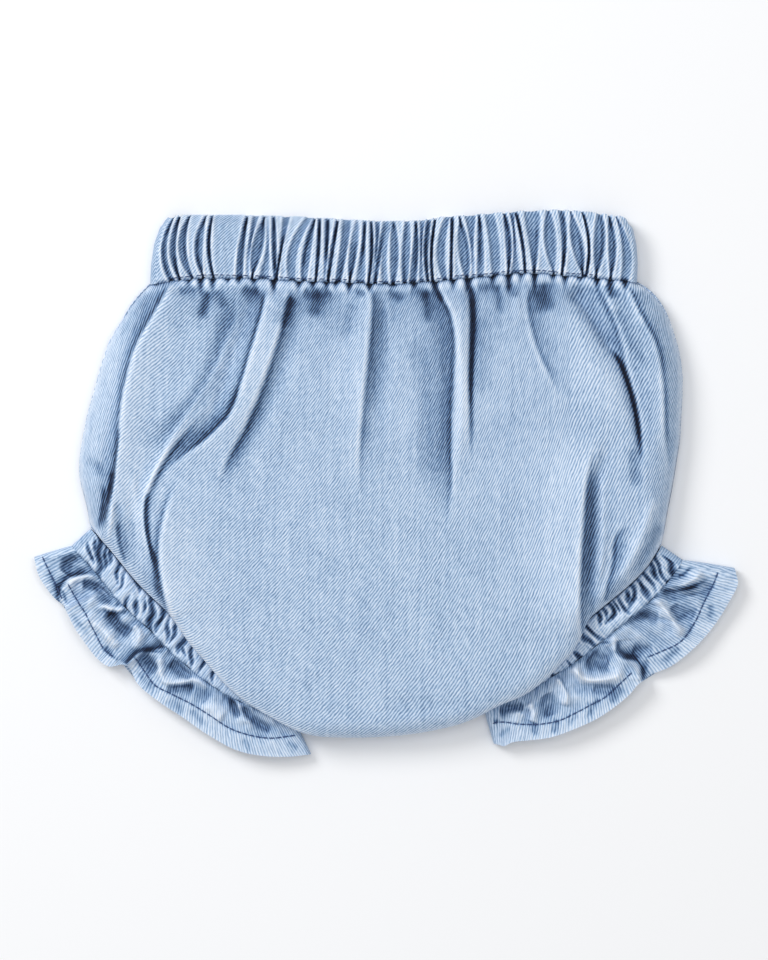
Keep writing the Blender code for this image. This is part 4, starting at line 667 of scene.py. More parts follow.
def spun_thread(name, colour):
    """Spun polyester sewing thread: a tight twist with a soft gloss"""
    thread = bpy.data.materials.new(name)
    thread.use_nodes = True
    tree = thread.node_tree
    face = tree.nodes["Principled BSDF"]
    place = add(tree, "ShaderNodeTexCoord").outputs["Object"]
    fibre = add(tree, "ShaderNodeTexNoise", {"Vector": place, "Scale": 2600.0, "Detail": 2.0})
    tinting = add(tree, "ShaderNodeMix",
              {"Factor": fibre.outputs["Fac"], "A": linear(colour[0]), "B": linear(colour[1])},
              data_type="RGBA")
    tree.links.new(tinting.outputs["Result"], face.inputs["Base Color"])
    face.inputs["Roughness"].default_value = 0.62
    face.inputs["Specular IOR Level"].default_value = 0.4
    return thread


# ---- lines --------------------------------------------------------------------------------------
def to_mm(points):
    """Photo pixels to millimetres from the middle of the garment, the waist toward +y"""
    points = np.asarray(points, float)
    x = (points[..., 0] - PHOTO_MID[0]) * MM_PER_PX
    y = (PHOTO_MID[1] - points[..., 1]) * MM_PER_PX
    return np.stack([x, y], -1)


def stations(rows):
    """Share of the line's length reached at each row, by its first two columns"""
    steps = np.hypot(*np.diff(rows[:, :2], axis=0).T)
    return np.concatenate([[0.0], np.cumsum(steps)]) / steps.sum()


def soft(rows, at, known=None):
    """Rows of the soft curve through a table's rows, at shares `at` of its length"""
    rows = np.asarray(rows, float)
    at = np.asarray(at, float)
    known = stations(rows) if known is None else np.asarray(known, float)
    slope = np.gradient(rows, known, axis=0)
    k = np.clip(np.searchsorted(known, at, side="right") - 1, 0, len(known) - 2)
    span = (known[k + 1] - known[k])[:, None]
    s = (at - known[k])[:, None] / span
    start = (2 * s ** 3 - 3 * s ** 2 + 1) * rows[k] + (s ** 3 - 2 * s ** 2 + s) * span * slope[k]
    end = (3 * s ** 2 - 2 * s ** 3) * rows[k + 1] + (s ** 3 - s ** 2) * span * slope[k + 1]
    return start + end


def smooth(points, count):
    """The soft curve through a path charted on the photo, as evenly spread points in millimetres"""
    return soft(to_mm(points), np.linspace(0, 1, count))


def spans(points, line):
    """Distance from each point to every point of a line"""
    return np.hypot(*np.moveaxis(points[..., None, :] - line, -1, 0))


EDGE = np.array(LOWER_EDGE, float)
EDGE_SEEN = to_mm(EDGE)
EDGE_SEAM = to_mm(EDGE[:, 2:4])
EDGE_KNOWN = stations(EDGE_SEEN)


def cornered(rows, at):
    """The soft curve, with a corner left where each leg's seam meets the crotch"""
    breaks = [0, *CROTCH_ROWS, len(rows) - 1]
    at = np.asarray(at, float)
    found = np.empty((len(at), rows.shape[1]))
    for first, last in zip(breaks[:-1], breaks[1:]):
        here = (at >= EDGE_KNOWN[first] - TINY) & (at <= EDGE_KNOWN[last] + TINY)
        found[here] = soft(rows[first:last + 1], at[here], EDGE_KNOWN[first:last + 1])
    return found


def beside(line, distance, even=35):
    """The line moved sideways, to the right of its direction of travel, evened over nearby points"""
    along = np.pad(np.gradient(line, axis=0), ((even, even), (0, 0)), mode="edge")
    sums = np.cumsum(np.vstack([[[0.0, 0.0]], along]), axis=0)
    along = sums[2 * even + 1:] - sums[:-2 * even - 1]
    along /= np.hypot(along[:, 0], along[:, 1])[:, None]
    return line + distance * np.stack([along[:, 1], -along[:, 0]], -1)


def ease(share):
    """A soft step from 0 to 1"""
    share = np.clip(share, 0, 1)
    return share * share * (3 - 2 * share)


def bell(distance, reach):
    """A soft bump, 1 at no distance and dying away past its reach"""
    return np.exp(-(distance / reach) ** 2)


def round_off(distance, reach):
    """Quarter round from 0 at the edge to 1 a reach away from it"""
    return np.sqrt(np.clip(1 - (1 - np.clip(distance / reach, 0, 1)) ** 2, 0, 1))


def finer(values, steps=FINER):
    """The same run of values with each gap cut into equal steps"""
    values = np.asarray(values, float)
    return np.interp(np.arange((len(values) - 1) * steps + 1) / steps, np.arange(len(values)), values)


def line_at(line, places):
    """Points of a line at fractional places in its list"""
    known = np.arange(len(line))
    return np.stack([np.interp(places, known, line[:, k]) for k in range(line.shape[1])], -1)


def path_distance(plan, path):
    """Distance of each plan point to a path, which side it is on, and how far along the path it is"""
    flat = plan.reshape(-1, 2)
    low, high = path.min(0) - PATH_NEAR, path.max(0) + PATH_NEAR
    close = ((flat > low) & (flat < high)).all(1)
    far = np.full(len(flat), FAR_AWAY)
    left = np.zeros(len(flat), bool)
    along = np.zeros(len(flat))
    ends = np.ones(len(flat), bool)
    here = flat[close]
    gap = here[:, None, :] - path
    miss = np.hypot(gap[..., 0], gap[..., 1])
    near = miss.argmin(1)
    way = np.gradient(path, axis=0)[near]
    step = np.take_along_axis(gap, near[:, None, None], 1)[:, 0]
    square = (way[:, 0] * step[:, 1] - way[:, 1] * step[:, 0]) / np.hypot(way[:, 0], way[:, 1])
    past = (near == 0) | (near == len(path) - 1)
    far[close] = np.where(past | (miss.min(1) > 1.5), miss.min(1), np.abs(square))
    left[close] = square > 0
    along[close] = near / (len(path) - 1)
    ends[close] = past
    shape = plan.shape[:-1]
    return far.reshape(shape), left.reshape(shape), along.reshape(shape), ends.reshape(shape)


def ahead(path, start, end):
    """The path with its ends carried straight on"""
    first, last = path[0] - path[1], path[-1] - path[-2]
    parts = [path]
    if start:
        steps = np.arange(int(start / np.hypot(*first)), 0, -1)[:, None]
        parts.insert(0, path[0] + steps * first)
    if end:
        parts.append(path[-1] + np.arange(1, int(end / np.hypot(*last)))[:, None] * last)
    return np.concatenate(parts)


def fold_height(plan, folds):
    """Sum of the folds' rises at each plan point"""
    height = np.zeros(plan.shape[:-1])
    for _, rise, left, right, dip_left, dip_right, starts, dies, points in folds:
        path = smooth(points, 140)
        path = path if dies else ahead(path, 0, 40)
        distance, on_left, along, ends = path_distance(plan, path)
        reach = np.where(on_left, right, left)
        dip = np.where(on_left, dip_right, dip_left)
        fade = ease(along / max(starts, 1e-6)) * ease((1 - along) / max(dies, 1e-6))
        fade = np.where(ends & ((along < 0.5) | (dies > 0)), 0.0, fade)
        shape = bell(distance, reach) * rise
        shape -= dip * bell(distance - 2.2 * reach, 1.3 * reach)
        height += shape * fade
    return height


def lap_height(plan, laps):
    """Rise and fall on the two sides of each edge where the cloth steps up, painted shade on its low side
    and painted highlight on its high side
    """
    height = np.zeros(plan.shape[:-1])
    tinting = np.zeros(plan.shape[:-1])
    for step, high_reach, low_reach, painted_shade_and_dye, painted_shade_reach, points in laps:
        path = smooth(points, 220)
        distance, on_left, along, ends = path_distance(plan, path)
        first, last = (0.05 if y < 300 or y > 600 else 0.34 for y in (points[0][1], points[-1][1]))
        fade = np.where(ends, bell(distance, 1.2), 1.0)
        fade = fade * ease(along / first) * ease((1 - along) / last)
        side = np.where(on_left, distance, -distance)
        lift = np.tanh(side / LAP_CRISP) * np.exp(-distance / np.where(on_left, high_reach, low_reach))
        height += 0.5 * step * lift * fade
        # painted shade on the low side under the edge, and a painted highlight just past it on the high side
        under = 0.5 - 0.5 * np.tanh((side + 0.25) / 0.42)
        shade = painted_shade_and_dye * under * (0.55 * bell(distance, painted_shade_reach) + 0.45 * bell(side + 0.8, 0.85))
        tinting += (shade - 0.24 * bell(side - 1.0, 0.9)) * fade
    return height, tinting


def swell_height(plan, swells):
    """Soft hollows and crests, with shade painted in the hollows and highlight painted on the crests, partly
    as dye kept in the hollows and worn off the crests
    """
    height = np.zeros(plan.shape[:-1])
    tinting = np.zeros(plan.shape[:-1])
    for rise, reach, painted_shade_and_dye, points in swells:
        path = smooth(points, 120)
        distance, _, along, ends = path_distance(plan, path)
        fade = np.where(ends, bell(distance, reach), 1.0) * ease(along / 0.15) * ease((1 - along) / 0.3)
        shape = bell(distance, reach) * fade
        height += rise * shape
        # painted shade in the hollows and painted highlight on the crests, partly dye
        tinting += painted_shade_and_dye * shape
    return height, tinting


# ---- shells -------------------------------------------------------------------------------------
def placed(name, data, material=None):
    """A new object in the scene, of a mesh with its material, a lamp or a camera"""
    if material:
        data.materials.append(material)
    made = bpy.data.objects.new(name, data)
    bpy.context.scene.collection.objects.link(made)
    return made


def shell(name, outer, inner, ring, flat, faded_and_painted_light, cloth):
    """One closed shell of cloth: a fine outer face, a plainer inner face and the rims between"""
    count, rows = outer.shape[:2]
    inner_count, inner_rows = inner.shape[:2]
    spans_out, spans_in = (count, inner_count) if ring else (count - 1, inner_count - 1)
    points = solid_points(np.concatenate([outer.reshape(-1, 3), inner.reshape(-1, 3)]))
    shift = count * rows
    faces, corners = [], []

    def patch(fine, plain=()):
        """One face through places of the fine outer grid, then places of the plain inner one"""
        faces.append(tuple(i % count * rows + j for i, j in fine)
                     + tuple(shift + i % inner_count * inner_rows + j for i, j in plain))
        corners.extend([*fine, *((i * FINER, j * FINER) for i, j in plain)])

    for i in range(spans_out):
        for j in range(rows - 1):
            patch([(i, j), (i + 1, j), (i + 1, j + 1), (i, j + 1)])
    for i in range(spans_in):
        for j in range(inner_rows - 1):
            patch([], [(i, j + 1), (i + 1, j + 1), (i + 1, j), (i, j)])
    for i in range(spans_in):
        walk = list(range(i * FINER, (i + 1) * FINER + 1))
        patch([(c, 0) for c in walk[::-1]], [(i, 0), (i + 1, 0)])
        patch([(c, rows - 1) for c in walk], [(i + 1, inner_rows - 1), (i, inner_rows - 1)])
    for j in range(0 if ring else inner_rows - 1):
        walk = list(range(j * FINER, (j + 1) * FINER + 1))
        patch([(0, r) for r in walk], [(0, j + 1), (0, j)])
        patch([(count - 1, r) for r in walk[::-1]], [(inner_count - 1, j), (inner_count - 1, j + 1)])
    mesh = bpy.data.meshes.new(name)
    mesh.from_pydata(points.tolist(), [], faces)
    corners = np.array(corners)
    layer = mesh.uv_layers.new(name="cloth")
    layer.data.foreach_set("uv", solid_points(flat[corners[:, 0], corners[:, 1]]).ravel())
    # each point's paleness: wear, with painted shade and highlight; the inside is coloured darker
    wear_and_painted_shading = mesh.attributes.new("faded_and_painted_light", "FLOAT", "POINT")
    inside = faded_and_painted_light[::FINER, ::FINER][:inner_count, :inner_rows] - INSIDE_DARKER
    values = np.concatenate([faded_and_painted_light[:count].ravel(), inside.ravel()])
    wear_and_painted_shading.data.foreach_set("value", values.astype(np.float32))
    mesh.calc_loop_triangles()
    trio = np.array([t.vertices[:] for t in mesh.loop_triangles])
    p, q, r = (points[trio[:, k]] for k in range(3))
    if (p * np.cross(q, r)).sum() < 0:
        mesh.flip_normals()
    mesh.shade_smooth()
    mesh.set_sharp_from_angle(angle=math.radians(SHARP_ANGLE))
    made = placed(name, mesh, cloth)
    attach(made, "root")
    return made


def facing(grid, ring):
    """Unit normals of a grid of points"""
    if ring:
        along = np.roll(grid, -1, axis=0) - np.roll(grid, 1, axis=0)
    else:
        along = np.gradient(grid, axis=0)
    normal = np.cross(along, np.gradient(grid, axis=1))
    return normal / np.maximum(np.linalg.norm(normal, axis=2, keepdims=True), 1e-9)


def wandering(plan, far, size):
    """The plan points shifted a little to and fro, so that a crease drawn on them isn't quite even"""
    x, y = plan[..., 0] / size, plan[..., 1] / size
    aside = np.sin(1.3 * y + 0.7 * np.sin(1.1 * x))
    along = np.sin(1.4 * x + 0.9 * np.sin(1.1 * y))
    return plan + far * np.dstack([aside, along])


def looped(strip, high, low, reach, turns, under):
    """A flattened loop of cloth: its upper side, a turn, its lower side and a turn back"""
    n = len(strip)
    places = np.linspace(n - 1, 0, under)
    back = np.stack([line_at(strip[:, j], places) for j in range(strip.shape[1])], 1)
    back_high = np.stack([np.interp(places, np.arange(n), low[:, j]) for j in range(strip.shape[1])], 1)
    columns = [np.dstack([strip, high])]
    reach = np.broadcast_to(reach, (strip.shape[1], 1))
    for end, before, order in ((-1, -2, 1), (0, 1, -1)):
        away = strip[end] - strip[before]
        away /= np.hypot(away[:, 0], away[:, 1])[:, None]
        middle = (high[end] + low[end]) / 2
        half = (high[end] - low[end]) / 2
        turn = []
        for angle in np.linspace(0, np.pi, turns + 2)[1:-1]:
            plan = strip[end] + away * reach * np.sin(angle)
            turn.append(np.column_stack([plan, middle + half * np.cos(angle)]))
        columns.append(np.array(turn)[::order])
        if order == 1:
            columns.append(np.dstack([back, back_high]))
    return np.concatenate(columns)


def loop_counts(columns, turns, under):
    """How many columns, turn columns and under columns the fine loop has for a plain one's"""
    return (columns - 1) * FINER + 1, (turns + 1) * FINER - 1, (under - 1) * FINER + 1


def round_again(rows):
    """The rows of a loop with its first one again at the end"""
    return np.concatenate([rows, rows[:1]])


def loop_wear(upper, turns, under, side, lower=None):
    """Wear of a loop's columns: its upper side, a turn, its lower side and a turn back"""
    sides = np.full((turns, upper.shape[1]), side)
    below = upper[np.linspace(len(upper) - 1, 0, under).round().astype(int)]
    if lower is not None:
        below = np.full(below.shape, lower)
    return round_again(np.concatenate([upper, sides, below, sides]))


def ring_flat(outer, along):
    """Flat cloth places of a loop's columns: the way round it, and the way across it"""
    round_it = np.concatenate([[0.0], np.cumsum(along)])
    across = np.linalg.norm(np.diff(outer, axis=1), axis=2)
    across = np.concatenate([np.zeros((len(outer), 1)), np.cumsum(across, axis=1)], axis=1)
    across = round_again(across)
    return np.dstack([np.broadcast_to(round_it[:, None], across.shape), across])


# ---- the waistband ------------------------------------------------------------------------------
def band_ends(share):
    """Left and right end of the waistband's flat part at each share of its height, in pixels"""
    share_known, left, right = np.array(BAND_ENDS, float).T
    turn = np.interp(share, (0, 1), BAND_TURN) / MM_PER_PX
    return np.interp(share, share_known, left) + turn, np.interp(share, share_known, right) - turn


def bowed(share, values):
    """A smooth run through three values given low, in the middle and at the top of the waistband"""
    low, middle, top = GROOVE_HEIGHTS
    a, b, c = values
    return (a * (share - middle) * (share - top) / ((low - middle) * (low - top))
            + b * (share - low) * (share - top) / ((middle - low) * (middle - top))
            + c * (share - low) * (share - middle) / ((top - low) * (top - middle)))


def gather_drop(x, share):
    """How deep the waistband's gathers sink at x pixels and a share of its height: shallow, and slit"""
    low, middle, top = GROOVE_HEIGHTS
    shallow = np.zeros(x.shape)
    slit = np.zeros(x.shape)
    crest = np.zeros(x.shape)
    for k, (x_top, x_mid, x_low, w_top, w_mid, w_low, d_top, d_low) in enumerate(GROOVES):
        at = bowed(share, (x_low, x_mid, x_top))
        wide = np.clip(bowed(share, (w_low, w_mid, w_top)), 1.4, 14)
        deep = np.interp(share, (low, middle, top), (d_low, max(d_low, d_top), d_top))
        near = np.abs(x - at) / (0.56 * wide + 0.8)
        shallow = np.maximum(shallow, (0.35 + 0.65 * deep) * ease(2.2 * (1 - near)))
        edge = np.abs(x - at) - (0.56 * wide + 1.5)
        pale = 0.75 + 0.25 * np.sin(5.0 * share + 2.7 * k)
        crest = np.maximum(crest, (0.4 + 0.6 * deep) * pale * bell(edge, 1.7))
        # the steeper side of a wide valley has a slit, and a narrow one is slit all over; the slit sinks the
        # cloth and is coloured dark, partly as kept dye and partly as painted shade
        side = (1 if k % 3 else -1) * 0.42 * np.clip(wide - 3.0, 0, None)
        line = 0.50 * np.minimum(wide, 3.0) + 0.45
        narrow = ease((deep - 0.45) / 0.4) * (0.45 + 0.55 * ease((5.0 - wide) / 3.0))
        patchy = 0.72 + 0.28 * np.sin(7.0 * share + 2.1 * k) * np.sin(13.0 * share + 1.3 * k)
        slit = np.maximum(slit, narrow * patchy * ease(1.35 * (1 - np.abs(x - at - side) / line)))
    return shallow, slit, crest * (1 - ease(shallow / 0.8))


def waistband(cloth):
    """The gathered casing, one loop laid flat with its grooves on the upper side"""
    plain_columns, plain_turns, plain_under, plain_rows = BAND_MESH
    columns, turns, under = loop_counts(plain_columns, plain_turns, plain_under)
    shares = finer(np.linspace(0, 1, plain_rows))
    seam, top = to_mm(WAIST_SEAM), to_mm(WAIST_TOP)
    left, right = band_ends(shares)
    along = np.linspace(0, 1, columns)
    x_px = left[None, :] + (right - left)[None, :] * along[:, None]
    share = np.broadcast_to(shares[None, :], x_px.shape)
    shallow, slit, crest = gather_drop(x_px, share)
    x = (x_px - PHOTO_MID[0]) * MM_PER_PX
    y_seam = np.interp(x, seam[:, 0], seam[:, 1]) - BAND_OVERLAP * (1.0 - 0.75 * shallow)
    y_top = np.interp(x, top[:, 0], top[:, 1]) - BAND_SCALLOP[0] * shallow - BAND_SCALLOP[1] * slit
    y = y_seam * (1 - share) + y_top * share
    swell = 0.5 * np.sin(np.pi * share) + 0.12 * np.sin(x_px * 0.9 + 4 * share)
    high = BAND_HIGH + BAND_SWELL + swell - BAND_EASE
    high = high + BAND_CREST * crest - BAND_VALLEY * shallow - BAND_SLIT * slit
    from_top = (1 - share) * (y_top - y_seam)
    from_seam = share * (y_top - y_seam)
    drop, reach = BAND_TOP_ROUND
    high -= drop * (1 - round_off(from_top, reach)) + SEAM_DIP * (1 - round_off(from_seam, BAND_SEAM_ROUND))
    ends = np.minimum(along, 1 - along)[:, None] * (x[-1, 0] - x[0, 0])
    high = np.maximum(high, BAND_LOWEST)
    high = BAND_HIGH + (high - BAND_HIGH) * ease(ends / 2.0)
    strip = np.dstack([x, y])
    low = 1.3 * shallow * ease(ends / 2.0) * ease(from_top / 2.0)
    reach = np.interp(shares, (0, 1), BAND_TURN)[:, None]
    outer = looped(strip, high, low, reach, turns, under)
    plain = strip[::FINER, ::FINER]
    inner_high = np.full(plain.shape[:2], BAND_INNER_HIGH)
    inner_low = np.full(plain.shape[:2], CASING + 0.2)
    inner = looped(plain, inner_high, inner_low, reach[::FINER] - BAND_FOLD_WALL, plain_turns, plain_under)
    # crests, top edge and the cloth over the seam paler by wear and painted highlight; valleys, slits and
    # seam darker by kept dye and painted shade
    wear_and_painted_shading = BAND_WEAR_AND_PAINTED_LIGHT
    paler_by_wear_and_light = wear_and_painted_shading["plain"] + wear_and_painted_shading["crest"] * crest + wear_and_painted_shading["valley"] * shallow + wear_and_painted_shading["slit"] * slit
    paler_by_wear_and_light = paler_by_wear_and_light + wear_and_painted_shading["top edge"] * (1 - round_off(from_top, 1.6))
    paler_by_wear_and_light = paler_by_wear_and_light + wear_and_painted_shading["over the seam"] * bell(from_seam - 1.6, 0.8) * (1 - shallow)
    paler_by_wear_and_light = paler_by_wear_and_light + wear_and_painted_shading["seam valley"] * bell(from_seam, 1.1) * shallow
    paler_by_wear_and_light = paler_by_wear_and_light + wear_and_painted_shading["seam"] * bell(from_seam, 0.6)
    level = looped(strip, np.full(high.shape, BAND_HIGH), np.zeros(high.shape), reach, turns, under)
    long = np.linalg.norm(np.roll(level, -1, axis=0) - level, axis=2)[:, len(shares) // 2]
    round_it = np.concatenate([[0.0], np.cumsum(long)])[:, None]
    flat_y = round_again(outer[..., 1])
    flat = np.dstack([np.broadcast_to(round_it, flat_y.shape), flat_y])
    faded_and_painted_light = loop_wear(paler_by_wear_and_light, turns, under, wear_and_painted_shading["turn"])
    made = shell("waistband_cloth", outer, inner, True, flat, faded_and_painted_light, cloth)
    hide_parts("waistband")
    return made


# ---- the body -----------------------------------------------------------------------------------
def guide_lines(names):
    """The named creases in millimetres"""
    known = {name: points for name, _, points in GUIDES}
    return [to_mm(known[name]) for name in names]


def spread(counts):
    """Column places along the guides, closer together at both sides"""
    at = [0.0]
    for k, count in enumerate(counts):
        steps = np.arange(1, count + 1) / count
        if k == 0:
            steps = steps ** 2
        if k == len(counts) - 1:
            steps = 1 - (1 - steps) ** 2
        at += list(k + steps)
    return np.array(at)


def corner_stations():
    """Shares of the lower edge where the leg bands' crotch ends turn, and the crotch corners between"""
    left, right = EDGE_KNOWN[list(CROTCH_ROWS)]
    return left - CROTCH_TURN, left, right, right + CROTCH_TURN


def panel_plan(lines, at, rows_at, lower, steps=1):
    """A panel's plan points and each column's place along the lower edge"""
    seam = to_mm(WAIST_SEAM) - np.array([0.0, SEAM_GAP])
    fine = np.linspace(0, 1, 1500)
    seam_fine = soft(seam, fine)
    edge_fine = soft(EDGE_SEEN, fine, EDGE_KNOWN)
    last = len(lines) - 1
    starts = [fine[np.argmin(np.hypot(*(seam_fine - line[0]).T))] for line in lines]
    ends = [fine[np.argmin(np.hypot(*(edge_fine - line[-1]).T))] for line in lines]
    starts[0] = ends[0] = 0.0
    starts[last] = ends[last] = 1.0
    start_at = np.interp(at, range(last + 1), starts)
    end_at = np.interp(at, range(last + 1), ends)
    turn_left, left, right, turn_right = corner_stations()
    for corner, turn, beyond in ((left, turn_left, -1), (right, turn_right, 1)):
        column = np.argmin(np.abs(end_at - corner))
        end_at[column] = corner
        end_at[column + beyond] = turn
    start_at, end_at, at, rows_at = (finer(v, steps) for v in (start_at, end_at, at, rows_at))
    hung = np.array([soft(line, rows_at) for line in lines])
    k = np.clip(at.astype(int), 0, last - 1)
    share = (at - k)[:, None, None]
    plan = (1 - share) * hung[k] + share * hung[k + 1]
    miss_top = soft(seam, start_at) - plan[:, 0]
    miss_low = lower(end_at) - plan[:, -1]
    down = rows_at[None, :, None]
    return plan + (1 - down) * miss_top[:, None] + down * miss_low[:, None], end_at


def from_side(plan):
    """Distance in from the side seams, and how far in the cloth keeps curving there"""
    best = np.full(plan.shape[:-1], 1e9)
    round_here = np.full(plan.shape[:-1], 10.0)
    share, reach = np.array(SIDE_ROUND).T
    for name, corner in (("left side", LOWER_EDGE[0][2:4]), ("right side", LOWER_EDGE[-1][2:4])):
        at = np.linspace(0, 1, 160)
        path = soft(np.vstack([guide_lines([name])[0], to_mm(corner)]), at)
        far = spans(plan, path)
        near = far.argmin(-1)
        distance = far.min(-1)
        closer = distance < best
        best = np.where(closer, distance, best)
        round_here = np.where(closer, np.interp(at[near], share, reach), round_here)
    return best, round_here


def body_points(at, rows_at, skirt_places, steps):
    """The front panel's outer points: its upper face, then the rows that roll under the lower edge"""
    lines = guide_lines([name for name, _, _ in GUIDES])
    plan, end_at = panel_plan(lines, at, rows_at, lambda at: soft(EDGE_SEEN, at, EDGE_KNOWN), steps)
    tinting = np.zeros(plan.shape[:2])
    photo_y = PHOTO_MID[1] - plan[..., 1] / MM_PER_PX
    loft_y, loft_z = np.array(LOFT).T
    share = (photo_y.clip(loft_y[0], loft_y[-1]) - loft_y[0]) / (loft_y[-1] - loft_y[0])
    known = (loft_y - loft_y[0]) / (loft_y[-1] - loft_y[0])
    high = soft(loft_z[:, None], share.ravel(), known)[:, 0].reshape(share.shape)
    folds = fold_height(plan, FOLDS)
    small = np.zeros(plan.shape[:2])
    if steps > 1:
        # laps and swells: painted shade on low sides and in hollows, painted highlight on crests
        lapped, tinting = lap_height(plan, BODY_LAPS)
        swelled, more = swell_height(plan, BODY_SWELLS)
        tinting += more
        small += lapped + swelled
        seam_line = smooth(WAIST_SEAM, 600)
        from_seam = spans(plan[:, :SEAM_ROWS], seam_line).min(-1)
        from_seam = np.hstack([from_seam, np.full((len(plan), plan.shape[1] - SEAM_ROWS), FAR_AWAY)])
        small -= SEAM_DIP * (1 - round_off(from_seam, SEAM_SOFT))
        for x, y_end, deep in PUCKERS:
            y_start = np.interp(x, *np.array(WAIST_SEAM).T)
            long = (y_end - y_start) * MM_PER_PX * 1.5
            down = (photo_y - y_start) * MM_PER_PX
            aside = np.abs((plan[..., 0] - (x - PHOTO_MID[0]) * MM_PER_PX))
            wide = PUCKER_WIDE * (1.15 - 0.75 * np.clip(down / long, 0, 1))
            shape = bell(aside, wide) * ease(1 - down / long)
            small -= 1.1 * deep * shape
            # painted shade in each pucker, partly kept dye, and painted highlight on the puffs beside it
            beside_it = bell(aside - 2.2 * wide, 0.9 * wide) * ease(1 - down / long)
            tinting += BODY_DYE_AND_PAINTED_LIGHT["pucker"] * deep * shape ** 1.5 + BODY_DYE_AND_PAINTED_LIGHT["beside a pucker"] * beside_it
        rise, middle, reach = SEAM_BULGE
        bulge = bell(from_seam - middle, reach)
        small += rise * bulge
        # painted shade in the seam, painted highlight on the bulge under it, and darker near the waist
        tinting += (BODY_DYE_AND_PAINTED_LIGHT["seam"] * bell(from_seam, 0.9) + BODY_DYE_AND_PAINTED_LIGHT["bulge"] * bulge
                + BODY_DYE_AND_PAINTED_LIGHT["upper body"] * bell(from_seam, 20.0))
        small = np.clip(small, *BODY_SMALL)
    side, side_reach = from_side(plan)
    round_side = np.sign(plan[..., 0]) * 0.8 * (high - SIDE_SEAM_FRONT) * (1 - round_off(side, side_reach))
    high = SIDE_SEAM_FRONT + (high + folds + small - SIDE_SEAM_FRONT) * round_off(side, side_reach)
    seen = plan[:, -1]
    seam = cornered(EDGE_SEAM, end_at)
    out, tuck, end = soft(EDGE[:, 4:], end_at, EDGE_KNOWN).T
    edge_line = soft(EDGE_SEEN, np.linspace(0, 1, 500), EDGE_KNOWN)
    edge_high = soft(EDGE[:, 4:5], np.linspace(0, 1, 500), EDGE_KNOWN)[:, 0]
    far = np.empty(plan.shape[:2])
    near = np.empty(plan.shape[:2], int)
    for i in range(len(plan)):
        miss = spans(plan[i], edge_line)
        near[i] = miss.argmin(-1)
        far[i] = miss.min(-1)
    over = np.clip(high - edge_high[near], 0, None)
    round_low = 0.8 * over * (1 - round_off(far, LOWER_ROUND))
    high = high - over * (1 - round_off(far, LOWER_ROUND))
    high[0] = high[-1] = SIDE_SEAM_FRONT
    high[:, -1] = out
    outer = np.dstack([plan, high])
    lean = ease((out - end - 0.7) / 1.5)[:, None]
    skirt = []
    for across, even, under, down in skirt_places:
        share = lean * across + (1 - lean) * even
        place = seen + (seam - seen) * share
        skirt.append(np.column_stack([place, out + (tuck - out) * under + (end - tuck) * down]))
    # painted highlight along the side and lower edges
    tinting += BODY_DYE_AND_PAINTED_LIGHT["side edge"] * bell(side, 1.5) + BODY_DYE_AND_PAINTED_LIGHT["lower edge"] * bell(far, 1.3)
    outer = np.concatenate([outer, np.array(skirt).transpose(1, 0, 2)], axis=1)
    return outer, folds, tinting, np.dstack([round_side, round_low]), seen, seam


